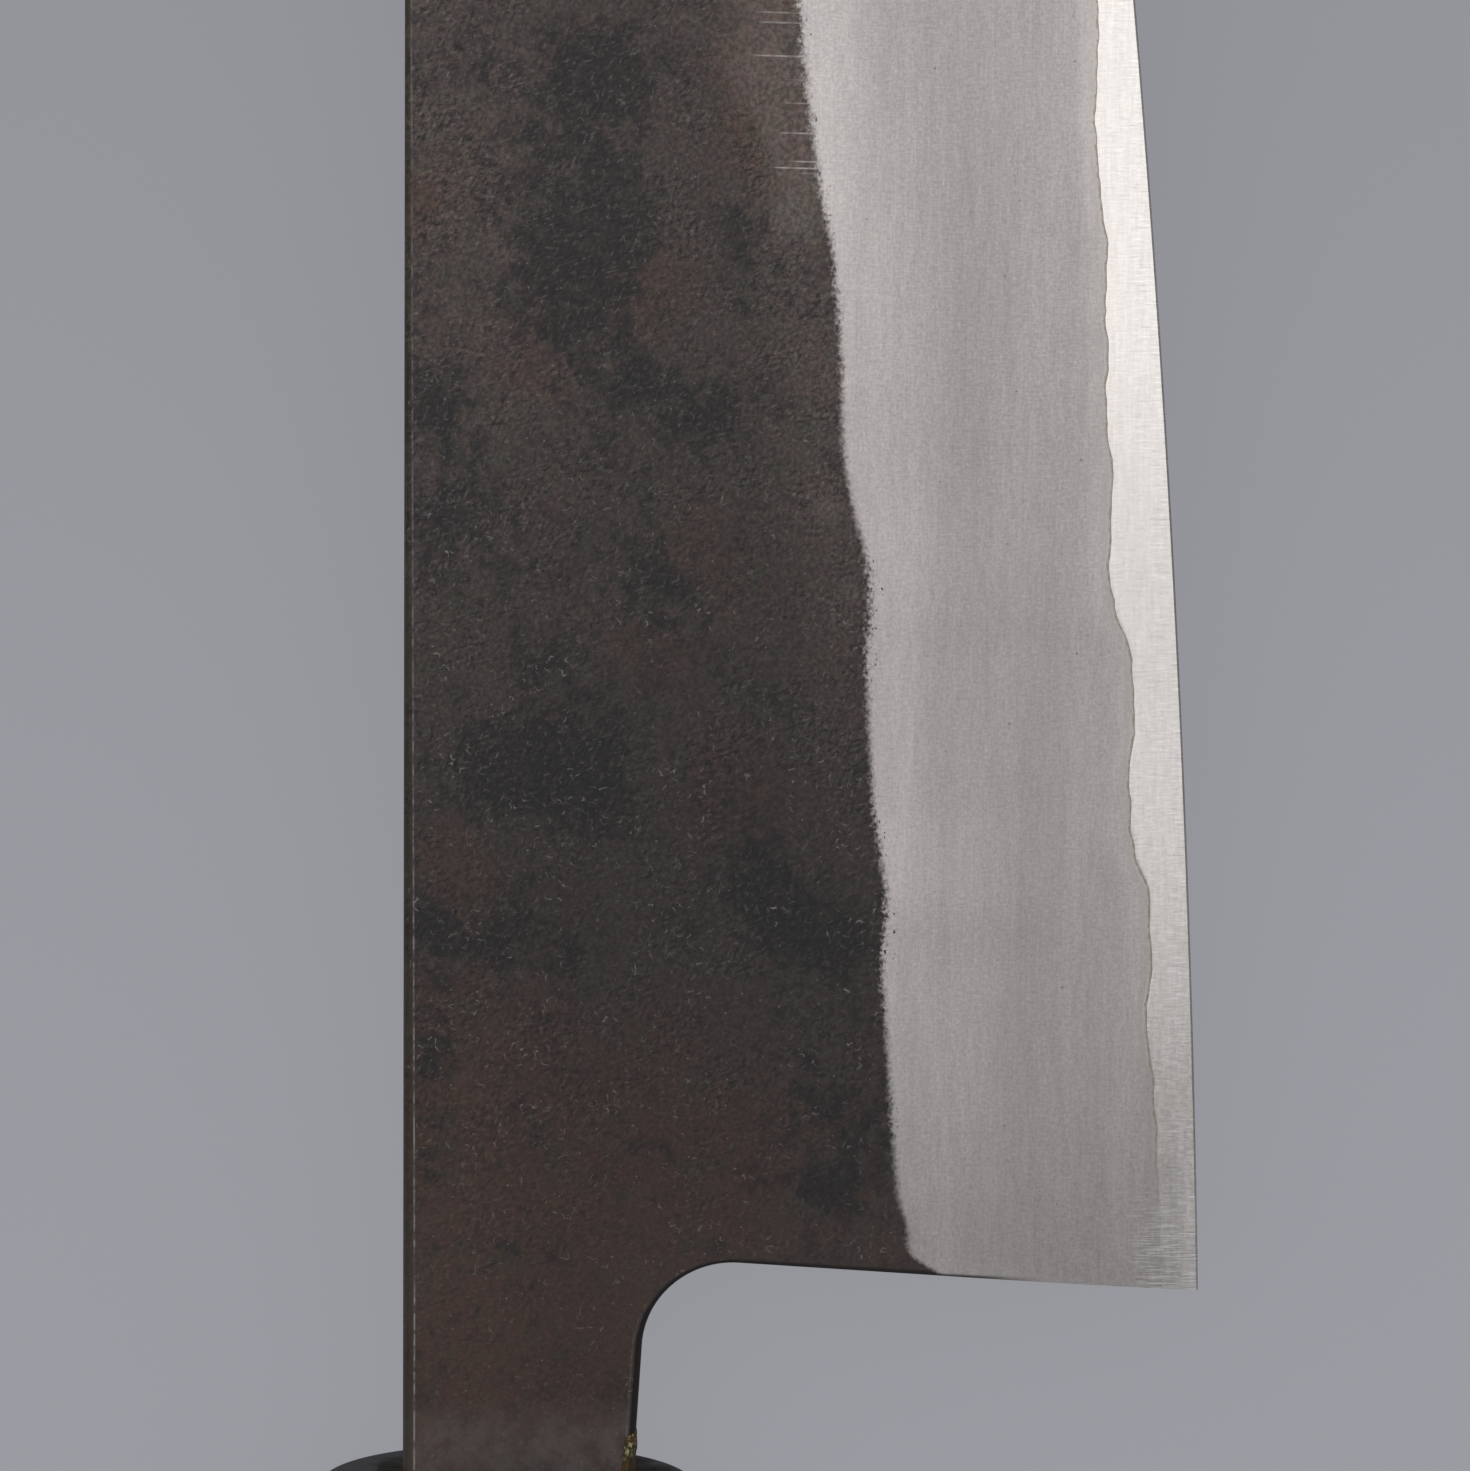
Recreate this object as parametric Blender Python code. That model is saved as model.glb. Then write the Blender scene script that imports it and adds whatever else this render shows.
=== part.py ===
"""A santoku kitchen knife with a Japanese (wa) handle, as eight separate pieces.

The blade is forge-welded from three layers: a hard cutting core between two soft iron claddings. Its
tang runs through a horn ferrule into a wooden handle. A slotted dowel joins ferrule and handle, resin
beds the tang in the dowel, and a bead of resin seals the mouth of the ferrule round the neck.

Metres, +Z up. The knife lies on its side with its blade level. +X points to the tip, -Y to the cutting
edge, and +Z out of the right face of the blade. Every piece is modelled in the knife's own frame, which
has the heel at x = 0, the back of the blade at y = 0 and the middle of the blade's thickness at z = 0.
The frame then moves so that the world origin is under the middle of the knife, on the surface it lies on.
"""

import math

import bmesh
import bpy
from mathutils import Vector

# Blade, seen from its side
BLADE_LENGTH = 0.165  # heel to tip
HEEL_HEIGHT = 0.048  # back to cutting edge, at the heel
TIP_DROP = 0.030  # how far the tip lies below the line of the back
SPINE_ARC_RADIUS = 0.060  # the back curves down to the tip on this radius
EDGE_RISE_TERMS = ((1, 0.236), (2, 0.663), (6, 0.101))  # power of the share of length, share of the rise
BEVEL_WIDTH_AT_HEEL = 0.0180  # bright ground bevel, measured up from the edge
BEVEL_WIDTH_AT_TIP = 0.0220
HEEL_LEAN = math.radians(3.4)  # the heel's end face leans towards the tip
CHOIL_RADIUS = 0.0055  # hollow between heel and neck
NECK_LENGTH = 0.0121  # heel to ferrule
NECK_HEIGHT = 0.0139  # at the ferrule
NECK_TAPER = math.radians(3.5)  # the underside of the neck slopes by this towards the heel

# Blade, in section
SPINE_THICKNESS_AT_HEEL = 0.0034
SPINE_THICKNESS_AT_TIP = 0.0019
THINNING_TO_BEVEL = 0.0007  # the flat is this much thinner at the bevel than at the back, at the heel
CORE_THICKNESS = 0.00065
CORE_SHOWN = 0.0029  # strip of core steel that the ground bevel lays bare, up from the edge
EDGE_BEVEL_WIDTH = 0.0003  # the last, steep bevel that makes the edge
EDGE_BEVEL_THICKNESS = 0.00018  # where that bevel starts
SPINE_CHAMFER_AT_NECK = 0.00052
SPINE_CHAMFER_AT_TIP = 0.00005
CHAMFER_LIMIT = 0.4  # most of the cladding's own thickness that the chamfer may take
CHOIL_EASE = 0.0005  # how far the eased corners of heel and neck are rounded back at the faces

# Tang, inside the handle
TANG_LENGTH = 0.085  # ferrule mouth to tang end
TANG_HEIGHT = 0.0090  # behind its shoulders
TANG_END_HEIGHT = 0.0050
TANG_END_THICKNESS = 0.0022
SHOULDER_STEP = 0.0001

# Handle and ferrule, oval in section and in one line
FERRULE_LENGTH = 0.028
FERRULE_FRONT_WALL = 0.004
FERRULE_RIM_RADIUS = 0.0012
HANDLE_BODY_LENGTH = 0.102
HANDLE_OFFSET = 0.00065  # the handle's axis lies this much nearer the back than the neck's middle
MOUTH_HEIGHT = 0.0228  # oval at the ferrule's mouth, along Y
MOUTH_WIDTH = 0.0186  # and along Z
BUTT_HEIGHT = 0.0262  # oval at the butt, along Y
BUTT_WIDTH = 0.0210  # and along Z
BUTT_RIM_RADIUS = 0.0015

# What joins them
FIT_GAP = 0.0003  # between pieces that seat in each other
BEDDING_WALL = 0.0005  # least resin round the tang
SEAL_WALL = 0.0008  # resin round the neck
SEAL_POCKET = 0.0020  # depth of the pocket that the seal fills
SEAL_RECESS = 0.0004  # its face lies this deep in the mouth
DOWEL_WALL = 0.0010  # least wood outside the mortise's corners
DOWEL_IN_BODY = 0.035
MORTISE_SPARE = 0.003  # past the end of the tang

# Fineness of the meshes
STRAIGHT_STEPS = 14
ARC_STEPS = 20
CHOIL_STEPS = 12
OVAL_SIDES = 72
RIM_STEPS = 5
DOWEL_SIDES = 48
EASE_LEVELS = (-1.0, -0.75, -0.45, 0.0, 0.45, 0.75, 1.0)  # through the neck's thickness, face to face
SMOOTH_BELOW = math.radians(30)
TIP_SLIVER = 0.00005  # the layers keep this apart where they run out at the tip
CUT_SPARE = 0.004  # cutters reach this far past what they cut


def flat_half(x, y):
    """Half thickness of the forged flat, which thins towards the tip and towards the edge."""
    thinning = (SPINE_THICKNESS_AT_HEEL - SPINE_THICKNESS_AT_TIP) / 2 * x / BLADE_LENGTH
    flat_height = HEEL_HEIGHT - BEVEL_WIDTH_AT_HEEL
    return SPINE_THICKNESS_AT_HEEL / 2 - thinning + THINNING_TO_BEVEL / 2 * y / flat_height


# Places worked out from the sizes
mouth_x = -NECK_LENGTH
shoulder_x = mouth_x - FERRULE_FRONT_WALL + FIT_GAP
tang_end_x = mouth_x - TANG_LENGTH
ferrule_back_x = mouth_x - FERRULE_LENGTH
butt_x = ferrule_back_x - HANDLE_BODY_LENGTH
arc_run = math.sqrt(2 * SPINE_ARC_RADIUS * TIP_DROP - TIP_DROP**2)
arc_start_x = BLADE_LENGTH - arc_run
arc_angle = math.asin(arc_run / SPINE_ARC_RADIUS)
core_half = CORE_THICKNESS / 2
neck_y = -NECK_HEIGHT / 2
neck_half = flat_half(shoulder_x, 0.0)
axis_y = neck_y + HANDLE_OFFSET

# The mortise for tang and resin, and the dowel that holds it
bedding_half_height = TANG_HEIGHT / 2 + FIT_GAP + BEDDING_WALL
bedding_half_width = neck_half + FIT_GAP + BEDDING_WALL
mortise_half_height = bedding_half_height + FIT_GAP
mortise_half_width = bedding_half_width + FIT_GAP
dowel_radius = math.hypot(mortise_half_height, mortise_half_width) + DOWEL_WALL
dowel_front_x = mouth_x - FERRULE_FRONT_WALL - FIT_GAP
dowel_back_x = ferrule_back_x - DOWEL_IN_BODY
mortise_end_x = tang_end_x - MORTISE_SPARE

# The slot for the neck in the ferrule's mouth, and the wider pocket for the seal
slot_half_height = NECK_HEIGHT / 2 + FIT_GAP
slot_half_width = neck_half + FIT_GAP
pocket_half_height = slot_half_height + SEAL_WALL + FIT_GAP
pocket_half_width = slot_half_width + SEAL_WALL + FIT_GAP


def spine_y(x):
    """Height of the back: straight, then an arc down to the tip."""
    run = max(0.0, min(x, BLADE_LENGTH) - arc_start_x)
    return math.sqrt(SPINE_ARC_RADIUS**2 - run**2) - SPINE_ARC_RADIUS


def edge_y(x):
    """Height of the cutting edge: nearly straight at the heel, then rising more and more to the tip."""
    share = max(0.0, x / BLADE_LENGTH)
    rise = sum(part * share**power for power, part in EDGE_RISE_TERMS)
    return -HEEL_HEIGHT + (HEEL_HEIGHT - TIP_DROP) * rise


def bevel_width(x):
    """Height of the ground bevel, from the edge up to the forged flat."""
    share = max(0.0, x / BLADE_LENGTH)
    return BEVEL_WIDTH_AT_HEEL + (BEVEL_WIDTH_AT_TIP - BEVEL_WIDTH_AT_HEEL) * share


def surface_half(x, y):
    """Half thickness of the finished blade: the deepest of forged flat, iron bevel and core bevel."""
    up = y - edge_y(x)
    line_half = flat_half(x, edge_y(x) + bevel_width(x))
    iron_slope = (line_half - core_half) / (bevel_width(x) - CORE_SHOWN)
    core_slope = (core_half - EDGE_BEVEL_THICKNESS / 2) / (CORE_SHOWN - EDGE_BEVEL_WIDTH)
    iron_bevel = core_half + iron_slope * (up - CORE_SHOWN)
    core_bevel = EDGE_BEVEL_THICKNESS / 2 + core_slope * (up - EDGE_BEVEL_WIDTH)
    return min(flat_half(x, y), iron_bevel, core_bevel)


def blade_section(x):
    """The blade's section at x as (y, half thickness) pairs, from the back to the edge.

    They are: back wall, chamfer, line where the bevel starts, line where the core shows, edge bevel, edge.
    """
    top = spine_y(x)
    share = min(1.0, max(0.0, x / BLADE_LENGTH))
    chamfer = SPINE_CHAMFER_AT_NECK + (SPINE_CHAMFER_AT_TIP - SPINE_CHAMFER_AT_NECK) * share
    chamfer = min(chamfer, CHAMFER_LIMIT * max(surface_half(x, top) - core_half, TIP_SLIVER))
    line = min(edge_y(x) + bevel_width(x), top - 2 * chamfer)
    shows = min(edge_y(x) + CORE_SHOWN, line - TIP_SLIVER)
    keen = min(edge_y(x) + EDGE_BEVEL_WIDTH, shows - TIP_SLIVER)
    return (
        (top, surface_half(x, top) - chamfer),
        (top - chamfer, surface_half(x, top - chamfer)),
        (line, surface_half(x, line)),
        (shows, min(core_half, surface_half(x, shows))),
        (keen, EDGE_BEVEL_THICKNESS / 2),
        (edge_y(x), 0.0),
    )


def tang_section(x):
    """The tang's section at x, in the same six pairs. It narrows and thins towards its end."""
    share = (shoulder_x - x) / (shoulder_x - tang_end_x)
    half_height = (TANG_HEIGHT + (TANG_END_HEIGHT - TANG_HEIGHT) * share) / 2
    thick = flat_half(shoulder_x, axis_y)
    half = thick + (TANG_END_THICKNESS / 2 - thick) * share
    chamfer = SPINE_CHAMFER_AT_NECK / 2
    top, bottom = axis_y + half_height, axis_y - half_height
    return (
        (top, half - chamfer),
        (top - chamfer, half),
        (bottom, half),
        (bottom, core_half),
        (bottom, core_half / 2),
        (bottom, 0.0),
    )


def sections(end_x):
    """(x, section) from the end of the tang up to, and not including, end_x."""
    found = [(tang_end_x, tang_section(tang_end_x))]
    found.append((shoulder_x - SHOULDER_STEP, tang_section(shoulder_x - SHOULDER_STEP)))
    straight = [arc_start_x * i / STRAIGHT_STEPS for i in range(STRAIGHT_STEPS)]
    steps = [arc_angle * i / ARC_STEPS for i in range(ARC_STEPS)]
    curved = [arc_start_x + SPINE_ARC_RADIUS * math.sin(angle) for angle in steps]
    for x in [shoulder_x, mouth_x, *straight, *curved]:
        if x < end_x - TIP_SLIVER:
            found.append((x, blade_section(x)))
    return found


def cladding_end_x():
    """Where the blade gets as thin as its core, just behind the tip."""
    low, high = arc_start_x, BLADE_LENGTH
    for _ in range(40):
        middle = (low + high) / 2
        if surface_half(middle, spine_y(middle)) > core_half + TIP_SLIVER:
            low = middle
        else:
            high = middle
    return low


def new_object(name, mesh, finish=None, parent=None):
    made = bpy.data.objects.new(name, mesh)
    bpy.context.scene.collection.objects.link(made)
    made.parent = parent
    if finish:
        mesh.materials.append(finish)
    return made


def mesh_of(name, bm, smooth_angle=None):
    """A Blender mesh from bm, with its faces pointing out."""
    bmesh.ops.recalc_face_normals(bm, faces=bm.faces)
    mesh = bpy.data.meshes.new(name)
    bm.to_mesh(mesh)
    bm.free()
    if smooth_angle:
        mesh.shade_smooth()
        mesh.set_sharp_from_angle(angle=smooth_angle)
    return mesh


def lofted(rings, tip=None):
    """A closed bmesh through rings of points, all with the same count. It may end in a point, the tip."""
    bm = bmesh.new()
    rows = [[bm.verts.new(point) for point in ring] for ring in rings]
    count = len(rows[0])
    for row, following in zip(rows, rows[1:]):
        for i in range(count):
            j = (i + 1) % count
            bm.faces.new((row[i], row[j], following[j], following[i]))
    bm.faces.new(rows[0])
    if tip is None:
        bm.faces.new(rows[-1])
    else:
        point = bm.verts.new(tip)
        for i in range(count):
            bm.faces.new((rows[-1][i], rows[-1][(i + 1) % count], point))
    return bm


def box(low, high):
    """A closed bmesh box between two corners."""
    bm = bmesh.new()
    bmesh.ops.create_cube(bm, size=1.0)
    size = Vector(high) - Vector(low)
    middle = (Vector(high) + Vector(low)) / 2
    bmesh.ops.scale(bm, vec=size, verts=bm.verts)
    bmesh.ops.translate(bm, vec=middle, verts=bm.verts)
    return bm


def cut(piece, cutter):
    """Takes the cutter's shape out of the piece. The cutter is a helper and not part of the knife."""
    cutter.hide_render = True
    cutter.display_type = "WIRE"
    modifier = piece.modifiers.new("cut by " + cutter.name, "BOOLEAN")
    modifier.operation = "DIFFERENCE"
    modifier.object = cutter


def material(name, colour, roughness, metallic=0.0):
    made = bpy.data.materials.new(name)
    made.use_nodes = True
    shader = made.node_tree.nodes["Principled BSDF"]
    shader.inputs["Base Color"].default_value = (*colour, 1.0)
    shader.inputs["Roughness"].default_value = roughness
    shader.inputs["Metallic"].default_value = metallic
    return made


def core_steel(finish, knife):
    """The hard middle layer, from the end of the tang to the tip. It alone makes the cutting edge."""
    rings = []
    for x, (back, _, _, shows, keen, edge) in sections(BLADE_LENGTH):
        half = min(core_half, back[1])
        one_side = [(back[0], half), shows, keen]
        other_side = [(y, -z) for y, z in reversed(one_side)]
        rings.append([(x, y, z) for y, z in [*one_side, edge, *other_side]])
    bm = lofted(rings, tip=(BLADE_LENGTH, -TIP_DROP, 0.0))
    return new_object("core_steel", mesh_of("core_steel", bm), finish, knife)


def cladding(name, side, finish, knife):
    """One soft iron layer, on the right (side 1) or the left (side -1) of the core."""
    end_x = cladding_end_x()
    rings = []
    for x, (back, chamfer, line, shows, _, _) in sections(end_x):
        inside = (back[0], core_half)
        outline = [inside, back, chamfer, line, (shows[0], core_half)]
        rings.append([(x, y, side * z) for y, z in outline])
    bm = lofted(rings, tip=(end_x, spine_y(end_x), side * core_half))
    return new_object(name, mesh_of(name, bm), finish, knife)


def heel_outline(ease):
    """What is ground away below the neck, as (x, y) points, with its wall moved into the blade by ease."""
    heel = Vector((ease / math.cos(HEEL_LEAN), -HEEL_HEIGHT))
    up_heel = Vector((math.sin(HEEL_LEAN), math.cos(HEEL_LEAN)))
    mouth = Vector((mouth_x, -NECK_HEIGHT + ease / math.cos(NECK_TAPER)))
    along_neck = Vector((math.cos(NECK_TAPER), -math.sin(NECK_TAPER)))
    # The two lines meet in a corner, rounded by the choil's arc.
    apart = mouth - heel
    crossed = up_heel.cross(along_neck)
    corner = heel + up_heel * (apart.cross(along_neck) / crossed)
    radius = CHOIL_RADIUS + ease
    opening = math.acos(max(-1.0, min(1.0, up_heel.dot(along_neck))))
    back_off = radius / math.tan(opening / 2)
    start = corner - up_heel * back_off
    centre = start - Vector((up_heel.y, -up_heel.x)) * radius
    points = [heel - up_heel * CUT_SPARE]
    turn = math.pi - opening
    for i in range(CHOIL_STEPS + 1):
        angle = -HEEL_LEAN + turn * i / CHOIL_STEPS
        points.append(centre + radius * Vector((math.cos(angle), math.sin(angle))))
    past = shoulder_x - SHOULDER_STEP - CUT_SPARE - mouth_x
    points.append(mouth + along_neck / along_neck.x * past)
    points.append(Vector((points[-1].x, points[0].y)))
    return points


def heel_cutter(knife):
    """The grinding that frees heel, choil and neck, with a crowned wall so that their corners are eased."""
    outer = 1.0 + CUT_SPARE / neck_half
    rings = []
    for level in (-outer, *EASE_LEVELS, outer):
        points = heel_outline(CHOIL_EASE * min(1.0, level**2))
        rings.append([(p.x, p.y, level * neck_half) for p in points])
    return new_object("heel_cutter", mesh_of("heel_cutter", lofted(rings)), parent=knife)


def oval_ring(x, inset=0.0):
    """The handle's oval at x. It grows evenly from the ferrule's mouth to the butt."""
    share = (mouth_x - x) / (mouth_x - butt_x)
    half_height = (MOUTH_HEIGHT + (BUTT_HEIGHT - MOUTH_HEIGHT) * share) / 2 - inset
    half_width = (MOUTH_WIDTH + (BUTT_WIDTH - MOUTH_WIDTH) * share) / 2 - inset
    turns = [math.tau * i / OVAL_SIDES for i in range(OVAL_SIDES)]
    return [(x, axis_y + half_height * math.cos(t), half_width * math.sin(t)) for t in turns]


def rounded_rim(end_x, inwards, radius):
    """Oval rings that round an end over, from the flat end to the side."""
    rings = []
    for i in range(RIM_STEPS + 1):
        angle = math.pi / 2 * i / RIM_STEPS
        depth = radius * (1 - math.cos(angle))
        rings.append(oval_ring(end_x + inwards * depth, radius * (1 - math.sin(angle))))
    return rings


def cylinder_mesh(name, low_x, high_x, radius):
    turns = [math.tau * i / DOWEL_SIDES for i in range(DOWEL_SIDES)]
    rings = [
        [(x, axis_y + radius * math.cos(t), radius * math.sin(t)) for t in turns]
        for x in (low_x, high_x)
    ]
    return mesh_of(name, lofted(rings), SMOOTH_BELOW)


def slot_cutter(name, span_x, middle_y, half_height, half_width, knife):
    """A block that cuts a slot or a mortise along X."""
    low = (span_x[0], middle_y - half_height, -half_width)
    high = (span_x[1], middle_y + half_height, half_width)
    return new_object(name, mesh_of(name, box(low, high)), parent=knife)


def ferrule(finish, knife):
    """Horn collar: oval outside, bored for the dowel from behind, with a slot for the neck in front."""
    rings = [*rounded_rim(mouth_x, -1, FERRULE_RIM_RADIUS), oval_ring(ferrule_back_x)]
    made = new_object("ferrule", mesh_of("ferrule", lofted(rings), SMOOTH_BELOW), finish, knife)
    bored = cylinder_mesh(
        "ferrule_bore", ferrule_back_x - CUT_SPARE, mouth_x - FERRULE_FRONT_WALL, dowel_radius + FIT_GAP
    )
    cut(made, new_object("ferrule_bore", bored, parent=knife))
    through = (mouth_x - FERRULE_FRONT_WALL - FIT_GAP, mouth_x + CUT_SPARE)
    cut(made, slot_cutter("mouth_slot", through, neck_y, slot_half_height, slot_half_width, knife))
    shallow = (mouth_x - SEAL_POCKET, mouth_x + CUT_SPARE)
    cut(made, slot_cutter("seal_pocket", shallow, neck_y, pocket_half_height, pocket_half_width, knife))
    return made


def handle_body(finish, knife):
    """Magnolia handle: bored for the dowel, then mortised for the end of the tang."""
    front = ferrule_back_x - FIT_GAP
    rings = [*rounded_rim(butt_x, 1, BUTT_RIM_RADIUS), oval_ring(front)]
    made = new_object("handle_body", mesh_of("handle_body", lofted(rings), SMOOTH_BELOW), finish, knife)
    bored = cylinder_mesh("body_bore", dowel_back_x - FIT_GAP, front + CUT_SPARE, dowel_radius + FIT_GAP)
    cut(made, new_object("body_bore", bored, parent=knife))
    span = (mortise_end_x, dowel_back_x)
    cut(made, slot_cutter("body_mortise", span, axis_y, mortise_half_height, mortise_half_width, knife))
    return made


def joining_dowel(finish, knife):
    """Hardwood dowel glued into ferrule and body, with the mortise for the tang right through it."""
    mesh = cylinder_mesh("joining_dowel", dowel_back_x, dowel_front_x, dowel_radius)
    made = new_object("joining_dowel", mesh, finish, knife)
    span = (dowel_back_x - CUT_SPARE, dowel_front_x + CUT_SPARE)
    cut(made, slot_cutter("dowel_mortise", span, axis_y, mortise_half_height, mortise_half_width, knife))
    return made


def tang_bedding(finish, knife):
    """Resin poured round the tang: it fills the mortise and keeps the tang's shape inside."""
    front = dowel_front_x
    low = (mortise_end_x + FIT_GAP, axis_y - bedding_half_height, -bedding_half_width)
    high = (front, axis_y + bedding_half_height, bedding_half_width)
    made = new_object("tang_bedding", mesh_of("tang_bedding", box(low, high)), finish, knife)
    rings = []
    for x in (tang_end_x - FIT_GAP, front + CUT_SPARE):
        (top, _), (_, half), (bottom, _), _, _, _ = tang_section(x)
        top, bottom, half = top + FIT_GAP, bottom - FIT_GAP, half + FIT_GAP
        rings.append([(x, top, half), (x, bottom, half), (x, bottom, -half), (x, top, -half)])
    cut(made, new_object("tang_hollow", mesh_of("tang_hollow", lofted(rings)), parent=knife))
    return made


def mouth_seal(finish, knife):
    """Resin ring in the ferrule's pocket that closes the slot round the neck."""
    front, back = mouth_x - SEAL_RECESS, mouth_x - SEAL_POCKET + FIT_GAP
    half_height, half_width = pocket_half_height - FIT_GAP, pocket_half_width - FIT_GAP
    low = (back, neck_y - half_height, -half_width)
    high = (front, neck_y + half_height, half_width)
    made = new_object("mouth_seal", mesh_of("mouth_seal", box(low, high)), finish, knife)
    span = (back - CUT_SPARE, front + CUT_SPARE)
    cut(made, slot_cutter("seal_hole", span, neck_y, slot_half_height, slot_half_width, knife))
    return made


def build_knife():
    for old in list(bpy.data.objects):
        bpy.data.objects.remove(old)

    knife = bpy.data.objects.new("knife_frame", None)
    bpy.context.scene.collection.objects.link(knife)
    highest_y = axis_y + BUTT_HEIGHT / 2
    knife.location = (
        -(BLADE_LENGTH + butt_x) / 2,
        (HEEL_HEIGHT - highest_y) / 2,
        BUTT_WIDTH / 2,
    )

    steel = material("cutting_steel", (0.62, 0.61, 0.60), 0.25, 1.0)
    iron = material("forge_black_iron", (0.045, 0.040, 0.037), 0.55, 0.4)
    horn = material("black_horn", (0.018, 0.017, 0.017), 0.25)
    magnolia = material("magnolia_wood", (0.62, 0.50, 0.34), 0.55)
    beech = material("dowel_wood", (0.55, 0.38, 0.22), 0.6)
    resin = material("bedding_resin", (0.30, 0.17, 0.06), 0.4)
    pitch = material("sealing_resin", (0.035, 0.028, 0.015), 0.35)

    ground = heel_cutter(knife)
    cut(core_steel(steel, knife), ground)
    cut(cladding("right_cladding", 1, iron, knife), ground)
    cut(cladding("left_cladding", -1, iron, knife), ground)
    ferrule(horn, knife)
    handle_body(magnolia, knife)
    joining_dowel(beech, knife)
    tang_bedding(resin, knife)
    mouth_seal(pitch, knife)


build_knife()
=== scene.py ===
"""The looks of the santoku knife: every surface finished from close by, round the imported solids.

The knife lies on its side as packed. +X points to the tip, -Y to the cutting edge, and +Z out of the
right face of the blade. Shapes are worked out in the blade's own frame, with the heel at x = 0, the back
of the blade at y = 0 and the middle of its thickness at z = 0. Lengths are in metres, but in the tables
that metres() reads they are in millimetres.
"""

import functools
import math

import bpy
from mathutils import Matrix, Vector, noise


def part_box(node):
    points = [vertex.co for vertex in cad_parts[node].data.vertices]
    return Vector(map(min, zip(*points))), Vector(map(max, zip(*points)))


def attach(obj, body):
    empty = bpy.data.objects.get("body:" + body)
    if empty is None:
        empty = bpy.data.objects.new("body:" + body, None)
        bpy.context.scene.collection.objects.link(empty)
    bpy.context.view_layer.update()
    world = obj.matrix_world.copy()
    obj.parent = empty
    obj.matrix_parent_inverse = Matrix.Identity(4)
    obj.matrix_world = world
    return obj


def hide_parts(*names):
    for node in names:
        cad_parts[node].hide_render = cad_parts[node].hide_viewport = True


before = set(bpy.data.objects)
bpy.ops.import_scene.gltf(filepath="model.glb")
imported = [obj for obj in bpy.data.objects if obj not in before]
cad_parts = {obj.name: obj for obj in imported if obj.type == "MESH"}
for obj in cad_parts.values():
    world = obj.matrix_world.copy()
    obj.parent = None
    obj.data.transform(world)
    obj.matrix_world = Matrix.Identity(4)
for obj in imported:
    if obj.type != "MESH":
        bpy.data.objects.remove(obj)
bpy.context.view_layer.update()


# Core steel: the hard middle layer of the blade, forge-welded between two soft iron claddings. It is bare
# only along the edge, where the ground bevel runs through it. Behind the neck it is the middle of the tang.
# The outline and the section that it shares with the claddings are worked out here.
BLADE_LENGTH = 0.165
TIP_DROP = 0.030
SPINE_ARC_RADIUS = 0.060
EDGE_RISE_TERMS = ((1, 0.236), (2, 0.663), (6, 0.101))  # power of the share of length, share of the rise
HONED_WIDTH = 0.00012  # the last, steep bevel that makes the edge
HONED_HALF = 0.00008
BEVEL_TOP = 0.0185  # the bevel's usual height above the edge, and half thickness there
BEVEL_TOP_HALF = 0.00135
CORE_ROWS = 14
COLUMN_STEP = 0.00045
HEEL_COLUMN_STEP = 0.0002
HEEL_COLUMNS_END = 0.0045
SEWN_BELOW = 1e-7  # points closer together than this are sewn into one


def metres(*rows):
    """Rows of lengths, given here in millimetres."""
    return [[length / 1000 for length in row] for row in rows]


# The weld line, where the iron ends and the core shows: how far it lies above the edge from heel to tip
WELD_LINE = metres(
    (-4, 2.1), (0, 2.2), (6.9, 2.3), (12.5, 2.4), (14.5, 2.6), (17, 2.8), (18.7, 2.5), (20.3, 2.3),
    (24.1, 2.4), (25.2, 2.4), (26.4, 2.9), (29, 3.3), (31.9, 3.2), (33.7, 2.9), (34.9, 2.7),
    (38.7, 2.8), (39.9, 3.1), (41.8, 3.7), (45.3, 3.8), (48.1, 3.5), (50.5, 3.3), (53.3, 3.5),
    (57.2, 3.2), (60.1, 3.1), (63.8, 2.8), (68.8, 3), (72.7, 2.8), (78.5, 2.2), (86, 2.6), (93, 3.4),
    (102, 3.1), (109, 2.5), (119, 2.9), (128, 3.6), (137, 3), (149, 2.6), (165, 3),
)
WELD_RIPPLES = metres((0.14, 1.4), (0.08, 0.6))  # smaller waves on top of these: height and length
NECK_LENGTH = 0.0121
SHOULDER_X = -0.0158
SHOULDER_STEP = 0.0001
TANG_END_X = -0.0971
TANG_HEIGHT = 0.0090
TANG_END_HEIGHT = 0.0050
TANG_END_HALF = 0.0011
HANDLE_AXIS_Y = -0.0063

core_low, core_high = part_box("core_steel")
core_half = (core_high[2] - core_low[2]) / 2
heel_height = core_high[1] - core_low[1]
blade_origin = Vector((core_high[0] - BLADE_LENGTH, core_high[1], (core_low[2] + core_high[2]) / 2))
arc_run = math.sqrt(2 * SPINE_ARC_RADIUS * TIP_DROP - TIP_DROP**2)
arc_start_x = BLADE_LENGTH - arc_run


def curve_at(points, x):
    """Height at x of the smooth curve through (x, height) points, level beyond its ends."""
    if x <= points[0][0]:
        return points[0][1]
    if x >= points[-1][0]:
        return points[-1][1]
    i = next(k for k, point in enumerate(points) if point[0] > x) - 1
    (x0, y0), (x1, y1) = points[i], points[i + 1]
    before = points[max(i - 1, 0)]
    after = points[min(i + 2, len(points) - 1)]
    slope0 = (y1 - before[1]) / (x1 - before[0])
    slope1 = (after[1] - y0) / (after[0] - x0)
    run = x1 - x0
    t = (x - x0) / run
    ends = y0 * (1 + 2 * t) * (1 - t) ** 2 + y1 * (3 - 2 * t) * t**2
    return ends + run * (slope0 * t * (1 - t) ** 2 - slope1 * t**2 * (1 - t))


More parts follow.
